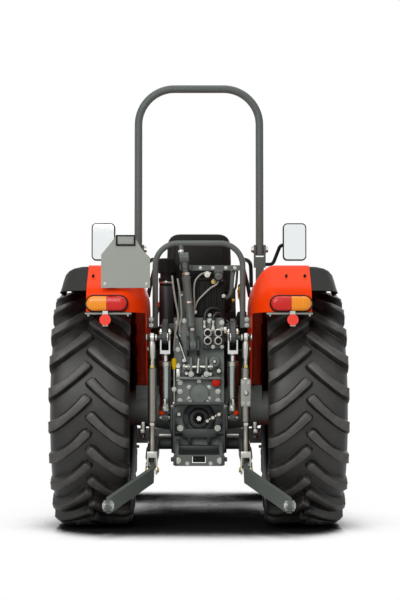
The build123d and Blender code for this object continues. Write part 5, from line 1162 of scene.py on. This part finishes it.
def drivers_station():
    """Steering wheel trim, instruments, control levers, pedals, deck mats and step treads."""
    hub = at(0, 700, 1420)
    bm = bmesh.new()
    turned(bm, hub + COLUMN_AXIS * 0.01, COLUMN_AXIS, [(-1, 30), (0, 39), (5, 40), (12, 35), (15, 20),
                                                       (16, 2)], 36, 0)
    side_on = COLUMN_AXIS.orthogonal().normalized()
    for i in range(30):
        angle = 2 * pi * i / 30
        out = Matrix.Rotation(angle, 3, COLUMN_AXIS) @ side_on
        along = COLUMN_AXIS.cross(out)
        turned(bm, hub + out * 0.185 - along * 0.006, along, [(0, 14), (2, 14.8), (10, 14.8), (12, 14)], 18,
               0)
    grip = hub + Matrix.Rotation(0.9, 3, COLUMN_AXIS) @ side_on * 0.185 + COLUMN_AXIS * 0.012
    turned(bm, grip, COLUMN_AXIS, [(0, 8), (6, 10), (10, 19), (30, 21), (42, 17), (46, 4)], 24, 0)
    new_piece("steering_wheel_trim", bm, "steering_wheel", BLACK_PLASTIC)

    bm = bmesh.new()
    black, zinc, pale, red, yellow, orange = range(6)
    slope = Vector((0, -0.928, 0.371))
    up_slope = Vector((0, 0.371, 0.928))
    middle = at(0, 1015, 1340)
    turn = Matrix.Rotation(-0.3805, 3, "X")
    slab(bm, (-210, 1011, 1272), (210, 1023, 1410), 5, black, turn)
    for x, radius in ((0, 56), (-125, 34), (125, 34)):
        face = middle + Vector((x / 1000, 0, 0)) + slope * 0.004
        turned(bm, face, slope, [(0, radius), (6, radius), (9, radius - 3), (9, radius - 6), (3, radius - 7)],
               40, zinc)
        turned(bm, face, slope, [(0, radius - 6), (2.5, radius - 6), (3, 1)], 40, black)
        for i in range(11):
            angle = radians(-120 + 24 * i)
            out = Vector((sin(angle), 0, 0)) + up_slope * cos(angle)
            start = face + slope * 0.0034
            bar(bm, start + out * (radius - 17) / 1000, start + out * (radius - 9) / 1000, 1.1, 0.3, 6, pale)
        needle = Vector((sin(-1.1), 0, 0)) + up_slope * cos(-1.1)
        bar(bm, face + slope * 0.004, face + slope * 0.004 + needle * (radius - 16) / 1000, 1.6, 0.4, 8, red)
        turned(bm, face + slope * 0.003, slope, [(0, 6), (4, 6), (6, 3)], 16, black)
    for i, finish in enumerate((red, yellow, pale, yellow, red)):
        spot = middle + Vector(((-60 + 30 * i) / 1000, 0, 0)) - up_slope * 0.062 + slope * 0.004
        turned(bm, spot, slope, [(0, 7), (4, 7), (6, 4)], 16, finish)
    turned(bm, at(172, 1003, 1290), slope, [(0, 15), (8, 15), (10, 11), (22, 9)], 20, zinc)
    boot = at(0, 1000, 1170) + COLUMN_AXIS * 0.02
    for i in range(6):
        turned(bm, boot + COLUMN_AXIS * 0.014 * i, COLUMN_AXIS,
               [(0, 46 - 2 * i), (7, 52 - 2 * i), (14, 46 - 2 * i)], 28, black)
    hand_knob(bm, at(-30, 880, 1270), at(-200, 850, 1330), black, zinc)
    hand_knob(bm, at(30, 880, 1270), at(190, 852, 1322), yellow, zinc, 11)
    # shift and hitch levers on the console beside the seat
    slab(bm, (226, 300, 1010), (286, 600, 1226), 12, black)
    slab(bm, (230, 310, 1222), (284, 590, 1236), 5, black)
    for y, finish, rise in ((340, yellow, 120), (395, red, 105), (450, black, 140), (510, yellow, 95),
                            (560, black, 120)):
        slab(bm, (250, y - 20, 1234), (262, y + 20, 1240), 2, zinc)
        hand_knob(bm, at(256, y, 1232), at(248, y - 24, 1232 + rise), finish, zinc)
    slab(bm, (-286, 330, 1010), (-232, 560, 1150), 12, black)
    # tool box on the deck, where the tank stands on the other side
    slab(bm, (150, -92, 801), (284, 190, 984), 10, black)
    slab(bm, (146, -96, 980), (286, 194, 1000), 6, black)
    for x in (176, 216, 256):
        slab(bm, (x - 6, -97, 820), (x + 6, -88, 970), 3, black)
    hand_knob(bm, at(-258, 480, 1146), at(-250, 520, 1270), orange, zinc)
    hand_knob(bm, at(-258, 400, 1146), at(-252, 420, 1240), black, zinc)
    # pedals: clutch on the left, two brakes and the throttle on the right
    tilt = Matrix.Rotation(-0.5, 3, "X")
    for x, y, width in ((-190, 900, 38), (150, 900, 30), (216, 900, 30)):
        slab(bm, (x - width, y - 12, 900), (x + width, y, 962), 4, black, tilt)
        for i in range(4):
            slab(bm, (x - width + 4, y - 16, 907 + 14 * i), (x + width - 4, y - 8, 912 + 14 * i), 1.5, black,
                 tilt)
        bar(bm, at(x, y, 930), at(x, y + 60, 980), 9, 1.5, 16, zinc)
        bar(bm, at(x, y + 56, 976), at(x, 990, 1010), 9, 1.5, 16, zinc)
    slab(bm, (282, 880, 812), (332, 980, 822), 3, black, Matrix.Rotation(0.4, 3, "X"))
    # mats and treads
    for side in (-1, 1):
        low, high = sorted((side * 146, side * 284))
        slab(bm, (low, 210, 799), (high, 700, 805), 2, black)
        low, high = sorted((side * 146, side * 548))
        slab(bm, (low, 792, 799), (high, 978, 805), 2, black)
        for i in range(16):
            slab(bm, (low + 8, 798 + i * 11, 803), (high - 8, 803 + i * 11, 809), 1, black)
        for i in range(22):
            inner, outer = sorted((side * 152, side * 278))
            slab(bm, (inner, 222 + i * 21, 803), (outer, 232 + i * 21, 809), 1, black)
        low, high = sorted((side * 434, side * 556))
        for i in range(11):
            slab(bm, (low, 836 + i * 24, 470), (high, 846 + i * 24, 478), 2, zinc)
    new_piece("drivers_controls", bm, "chassis", BLACK_PLASTIC, ZINC, PALE_GREY, RED_CAP, YELLOW_GRIP, ORANGE)

    bm = bmesh.new()
    zinc, black = range(2)
    for side in (-1, 1):
        for outward in (-1, 1):
            start = at(side * POST_X + outward * 37, 750, 1640)
            turned(bm, start, (outward, 0, 0), [(-1, 12), (0, 21), (4, 21), (5, 16), (15, 16), (17, 12)], 24,
                   zinc)
            bolt(bm, at(side * POST_X + outward * 37, 750, 1658), (outward, 0, 0), 14, zinc)
        for y in (730, 770):
            for x in (-30, 30):
                bolt(bm, at(side * POST_X + x, y, 806), UPWARD, 15, zinc)
        slab(bm, (side * POST_X - 46, 716, 800), (side * POST_X + 46, 784, 807), 3, black)
        turned(bm, at(side * 594, 762, 1686), FORWARD, [(-2, 26), (6, 26), (16, 20), (18, 8)], 24, black)
    new_piece("hoop_fastenings", bm, "chassis", ZINC, BLACK_PLASTIC)


drivers_station()


def hood_side_x(y, z):
    """Half width of the hood's side there: the lesser of its taper to the front and its lean to the top."""
    return min(255 - 40 * (y - 1180) / 1440, 255 - 20 * (z - 900) / 520)


def hood_trim():
    """Louvred side panels, raised ribs, latch, grille mesh and lamp bezels, all tilting with the hood."""
    bm = bmesh.new()
    black, zinc, orange = range(3)
    taper = atan2(40, 1440)
    for side in (-1, 1):
        lean = Matrix.Rotation(side * taper, 3, "Z")
        for y, length in ((1640, 260), (1980, 340)):
            x = side * hood_side_x(y, 1080)
            slab(bm, (x - 5, y - length / 2, 960), (x + 5, y + length / 2, 1200), 4, black, lean)
            for i in range(11):
                z = 978 + 20 * i
                spot = side * (hood_side_x(y, z) + 4)
                slab(bm, (spot - 5, y - length / 2 + 12, z), (spot + 5, y + length / 2 - 12, z + 9), 2, black,
                     lean)
        for y in (1230, 2480):
            x = side * hood_side_x(y, 930)
            slab(bm, (x - 5, y - 22, 916), (x + 5, y + 22, 946), 3, zinc, lean)
        pitch = Matrix.Rotation(-atan2(90, 1440), 3, "X")
        slab(bm, (side * 112 - 16, 1240, 1374), (side * 112 + 16, 2500, 1385), 4, orange, pitch)
        slab(bm, (side * 40 - 3, 2620, 1178), (side * 40 + 3, 2634, 1240), 2, black)
        slab(bm, (side * 170 - 3, 2620, 1178), (side * 170 + 3, 2634, 1240), 2, black)
        low, high = sorted((side * 38, side * 172))
        slab(bm, (low, 2620, 1235), (high, 2634, 1241), 2, black)
        slab(bm, (low, 2620, 1177), (high, 2634, 1183), 2, black)
    slab(bm, (-156, 2613, 944), (156, 2623, 951), 2, black)
    slab(bm, (-156, 2613, 1159), (156, 2623, 1166), 2, black)
    for x in (-153, 153):
        slab(bm, (x - 4, 2613, 946), (x + 4, 2623, 1164), 2, black)
    for i in range(17):
        bar(bm, at(-136 + 17 * i, 2601, 946), at(-136 + 17 * i, 2601, 1164), 1.6, 0.4, 8, zinc)
    slab(bm, (-34, 2618, 912), (34, 2630, 930), 4, black)
    new_piece("hood_trim", bm, "hood", BLACK_PLASTIC, ZINC, ORANGE)


def engine_bay():
    """Engine fittings, fan and belt, cooler core and hoses, air cleaner and battery under the hood."""
    bm = bmesh.new()
    dark, zinc, black, orange, pale = range(5)
    for side in (-1, 1):
        for i in range(9):
            bolt(bm, at(side * 130, 1000 + 84 * i, 548), (side, 0, 0), 13, zinc)
            bolt(bm, at(side * 130, 1000 + 84 * i, 900), (side, 0, 0), 13, zinc)
        for i in range(4):
            y = 1090 + 170 * i
            turned(bm, at(side * 129, y, 700), (side, 0, 0), [(0, 30), (5, 30), (7, 24), (4, 20), (4, 2)], 28,
                   dark)
            slab(bm, (side * 131 - 6, y + 70, 580), (side * 131 + 6, y + 88, 870), 4, dark)
        for z in (480, 560, 640, 720, 800):
            bolt(bm, at(side * 132, 940, z), REARWARD, 14, zinc)
            bolt(bm, at(side * 122, 540, z), FORWARD, 14, zinc)
    turned(bm, at(130, 1580, 640), (1, 0, 0), [(0, 30), (8, 30), (10, 43), (78, 43), (84, 38), (85, 6)], 32,
           pale)
    for i in range(4):
        turned(bm, at(155, 1250 + 60 * i, 788), UPWARD, [(0, 15), (14, 15), (16, 11), (26, 11)], 6, zinc)
    for y in (1250, 1430):
        bolt(bm, at(185, y, 725), (1, 0, 0), 15, zinc)
    slab(bm, (-104, 1010, 1128), (104, 1660, 1166), 14, orange)
    for i in range(6):
        for x in (-84, 84):
            bolt(bm, at(x, 1050 + 114 * i, 1165), UPWARD, 13, zinc)
    turned(bm, at(30, 1150, 1164), UPWARD, [(0, 26), (4, 30), (18, 30), (22, 24)], 24, black)
    for i in range(4):
        y = 1120 + 130 * i
        hose(f"injector_line_{i + 1}", [(80, y, 1164), (112, y, 1186), (136, y, 1150),
                                        (136, 1220 + 70 * i, 1000), (138, 1250 + 60 * i, 880),
                                        (155, 1250 + 60 * i, 812)], 3.2, ZINC)
    # fan, hub and belt ahead of the block
    turned(bm, at(0, 1720, 1020), FORWARD, [(0, 40), (30, 40), (34, 62), (44, 62), (48, 54), (58, 54),
                                            (62, 24), (500, 24), (506, 46), (560, 46), (566, 30)], 36, dark)
    for i in range(7):
        angle = 2 * pi * i / 7
        turn = Matrix.Rotation(angle, 3, "Y") @ Matrix.Rotation(0.5, 3, "Z")
        centre = Vector((92 * sin(angle), 2256, 1020 + 92 * cos(angle)))
        slab(bm, centre - Vector((28, 3, 52)), centre + Vector((28, 3, 52)), 2.5, black, turn)
    turned(bm, at(0, 1720, 640), FORWARD, [(0, 50), (30, 50), (34, 74), (44, 74), (48, 40), (60, 30)], 36,
           dark)
    # cooler: core fins, top tank, cap, shroud
    for i in range(43):
        x = -168 + 8 * i
        slab(bm, (x - 0.9, 2419, 812), (x + 0.9, 2424, 1236), 0.4, zinc)
    turned(bm, at(90, 2345, 1268), UPWARD, [(0, 22), (6, 22), (8, 28), (18, 28), (22, 20)], 24, zinc)
    slab(bm, (-186, 2262, 1232), (186, 2428, 1272), 12, black)
    # air cleaner and battery
    turned(bm, at(-20, 1830, 1262), FORWARD, [(0, 40), (4, 62), (20, 66), (300, 66), (312, 62), (316, 30)],
           36, black)
    for y in (1900, 2080):
        turned(bm, at(-20, y, 1262), FORWARD, [(0, 66), (1, 68), (13, 68), (14, 66)], 36, zinc)
    slab(bm, (-24, 1900, 1130), (24, 1920, 1200), 4, dark)
    slab(bm, (-24, 2070, 1130), (24, 2090, 1200), 4, dark)
    slab(bm, (-40, 1660, 1126), (40, 2268, 1140), 4, dark)
    slab(bm, (-150, 2440, 792), (150, 2580, 900), 8, black)
    for x in (-104, 104):
        turned(bm, at(x, 2510, 899), UPWARD, [(0, 11), (16, 10), (18, 7)], 16, zinc)
    slab(bm, (-156, 2496, 898), (156, 2524, 904), 2, zinc)
    new_piece("engine_fittings", bm, "chassis", DARK_CASTING, ZINC, BLACK_PLASTIC, ORANGE, PALE_GREY)
    hose("upper_coolant_hose", [(60, 1700, 1120), (70, 1760, 1150), (110, 1900, 1190), (130, 2080, 1210),
                                (120, 2200, 1236), (110, 2290, 1248)], 22, HOSE)
    hose("lower_coolant_hose", [(120, 1690, 760), (150, 1760, 770), (160, 1950, 810), (150, 2150, 830),
                                (130, 2280, 840)], 22, HOSE)
    hose("intake_hose", [(-20, 1836, 1262), (-24, 1760, 1262), (-60, 1700, 1240), (-100, 1640, 1190),
                         (-104, 1560, 1150)], 30, HOSE)
    hose("battery_lead", [(104, 2510, 912), (140, 2490, 940), (190, 2440, 900), (186, 2300, 800),
                          (150, 2000, 800), (140, 1740, 800)], 7, RED_CAP)


def front_end():
    """Bolts and pins of the front frame and axle, and the weight bracket's hitch pin."""
    bm = bmesh.new()
    dark, zinc = range(2)
    for side in (-1, 1):
        for y in (1760, 1820, 1880, 2380, 2440, 2520):
            bolt(bm, at(side * 140, y, 640), (side, 0, 0), 18, zinc)
            bolt(bm, at(side * 140, y, 735), (side, 0, 0), 18, zinc)
    turned(bm, at(0, 2720, 750), UPWARD, [(-4, 15), (0, 15), (0, 24), (8, 24), (10, 15), (40, 15), (44, 10)],
           24, zinc)
    turned(bm, at(0, 2100, 500), REARWARD, [(-2, 30), (4, 42), (12, 42), (14, 34)], 32, dark)
    for spot in round_about(90, 2240, FRONT_AXLE_Z, 76, 8):
        bolt(bm, spot, FORWARD, 13, zinc)
    new_piece("front_end_fittings", bm, "chassis", DARK_CASTING, ZINC)
    for label, side in SIDES:
        bm = bmesh.new()
        for z, up in ((517, 1), (353, -1)):
            for spot in round_about(side * 500, FRONT_AXLE_Y, z, 26, 4, "XY", pi / 4):
                bolt(bm, spot, (0, 0, up), 11, 0)
        new_piece(f"knuckle_bolts_{label}", bm, f"knuckle_{label}", ZINC)


hood_trim()
engine_bay()
front_end()


def studio():
    """Pale floor, white surround for the camera and for reflections, soft lights, the photo's camera."""
    scene = bpy.context.scene
    scene.view_settings.view_transform = "Standard"
    world = bpy.data.worlds.new("pale_surround")
    scene.world = world
    world.use_nodes = True
    tree = world.node_tree
    tree.nodes.clear()
    ray = add(tree, "LightPath")
    seen = add(tree, "Math", {0: ray.outputs["Is Camera Ray"], 1: ray.outputs["Is Glossy Ray"]},
               operation="MAXIMUM")
    seen = add(tree, "Math", {0: seen.outputs[0], 1: ray.outputs["Is Transmission Ray"]}, operation="MAXIMUM")
    level = add(tree, "MapRange", {"Value": seen.outputs[0], "To Min": 0.32, "To Max": 1.0})
    sky = add(tree, "Background", {"Color": (1, 1, 1, 1), "Strength": level.outputs["Result"]})
    add(tree, "OutputWorld", {"Surface": sky.outputs["Background"]})

    # pale studio floor: white in the open; where the object stands close over it, an occlusion test darkens
    # it to a matt near-black, a painted shadow
    material, tree = blank("pale_floor_painted_shadow")
    place = add(tree, "TexCoord").outputs["Object"]
    far = add(tree, "VectorMath", {0: place}, operation="LENGTH")
    fade = add(tree, "MapRange", {"Value": far.outputs["Value"], "From Min": 2.2, "From Max": 4.5},
               interpolation_type="SMOOTHSTEP")
    shadow_occlusion = add(tree, "AmbientOcclusion", {"Distance": 2.5}, samples=16)
    clear = add(tree, "MapRange", {"Value": shadow_occlusion.outputs["AO"], "From Min": 0.42, "From Max": 0.7},
                interpolation_type="SMOOTHSTEP")
    bright = add(tree, "Math", {0: fade.outputs["Result"], 1: clear.outputs["Result"]}, operation="MAXIMUM")
    ray = add(tree, "LightPath")
    shown = add(tree, "Math", {0: ray.outputs["Is Camera Ray"], 1: ray.outputs["Is Glossy Ray"]},
                operation="MAXIMUM")
    shown = add(tree, "Math", {0: shown.outputs[0], 1: bright.outputs[0]}, operation="MULTIPLY")
    grain = add(tree, "TexNoise", {"Vector": place, "Scale": per_mm(30)})
    pale = add(tree, "MixRGB", {"Fac": grain.outputs["Fac"], "Color1": colour("#D8D8D8"),
                                "Color2": colour("#D0D0D0")})
    # 2A2A2A where the floor is occluded: painted shadow under the object; the pale tones and the camera's
    #                                     white only outside it
    tint = add(tree, "MixRGB", {"Fac": clear.outputs["Result"], "Color1": colour("#2A2A2A"),
                                "Color2": pale.outputs["Color"]})
    matt = add(tree, "BsdfDiffuse", {"Color": tint.outputs["Color"]})
    white = add(tree, "Emission", {"Color": (1, 1, 1, 1), "Strength": 1.0})
    surface = add(tree, "MixShader", {0: shown.outputs[0], 1: matt.outputs["BSDF"],
                                      2: white.outputs["Emission"]})
    add(tree, "OutputMaterial", {"Surface": surface.outputs["Shader"]})
    bm = bmesh.new()
    bmesh.ops.create_grid(bm, x_segments=1, y_segments=1, size=40.0)
    mesh = bpy.data.meshes.new("studio_floor")
    bm.to_mesh(mesh)
    bm.free()
    mesh.materials.append(material)
    floor = bpy.data.objects.new("studio_floor", mesh)
    scene.collection.objects.link(floor)

    for name, place, aim, size, power in (
            ("overhead_softbox", (0, -0.5, 7.5), (0, 0, 0), 6.0, 170.0),
            ("rear_softbox", (-2.5, -8.5, 5.0), (0, -1.0, 1.0), 5.0, 400.0),
            ("front_softbox", (2.5, 8.0, 4.0), (0, 1.0, 1.0), 4.0, 110.0)):
        lamp = bpy.data.lights.new(name, "AREA")
        lamp.energy = power
        lamp.size = size
        light = bpy.data.objects.new(name, lamp)
        light.location = place
        light.rotation_euler = (Vector(aim) - Vector(place)).to_track_quat("-Z", "Y").to_euler()
        scene.collection.objects.link(light)

    camera = bpy.data.cameras.new("photo_camera")
    camera.lens = 93.9
    camera.sensor_width = 36.0
    eye = bpy.data.objects.new("photo_camera", camera)
    eye.location = at(0, -9000, 835)
    eye.rotation_euler = (radians(90 + 2.89), 0, radians(-0.037))
    scene.collection.objects.link(eye)
    scene.camera = eye


studio()
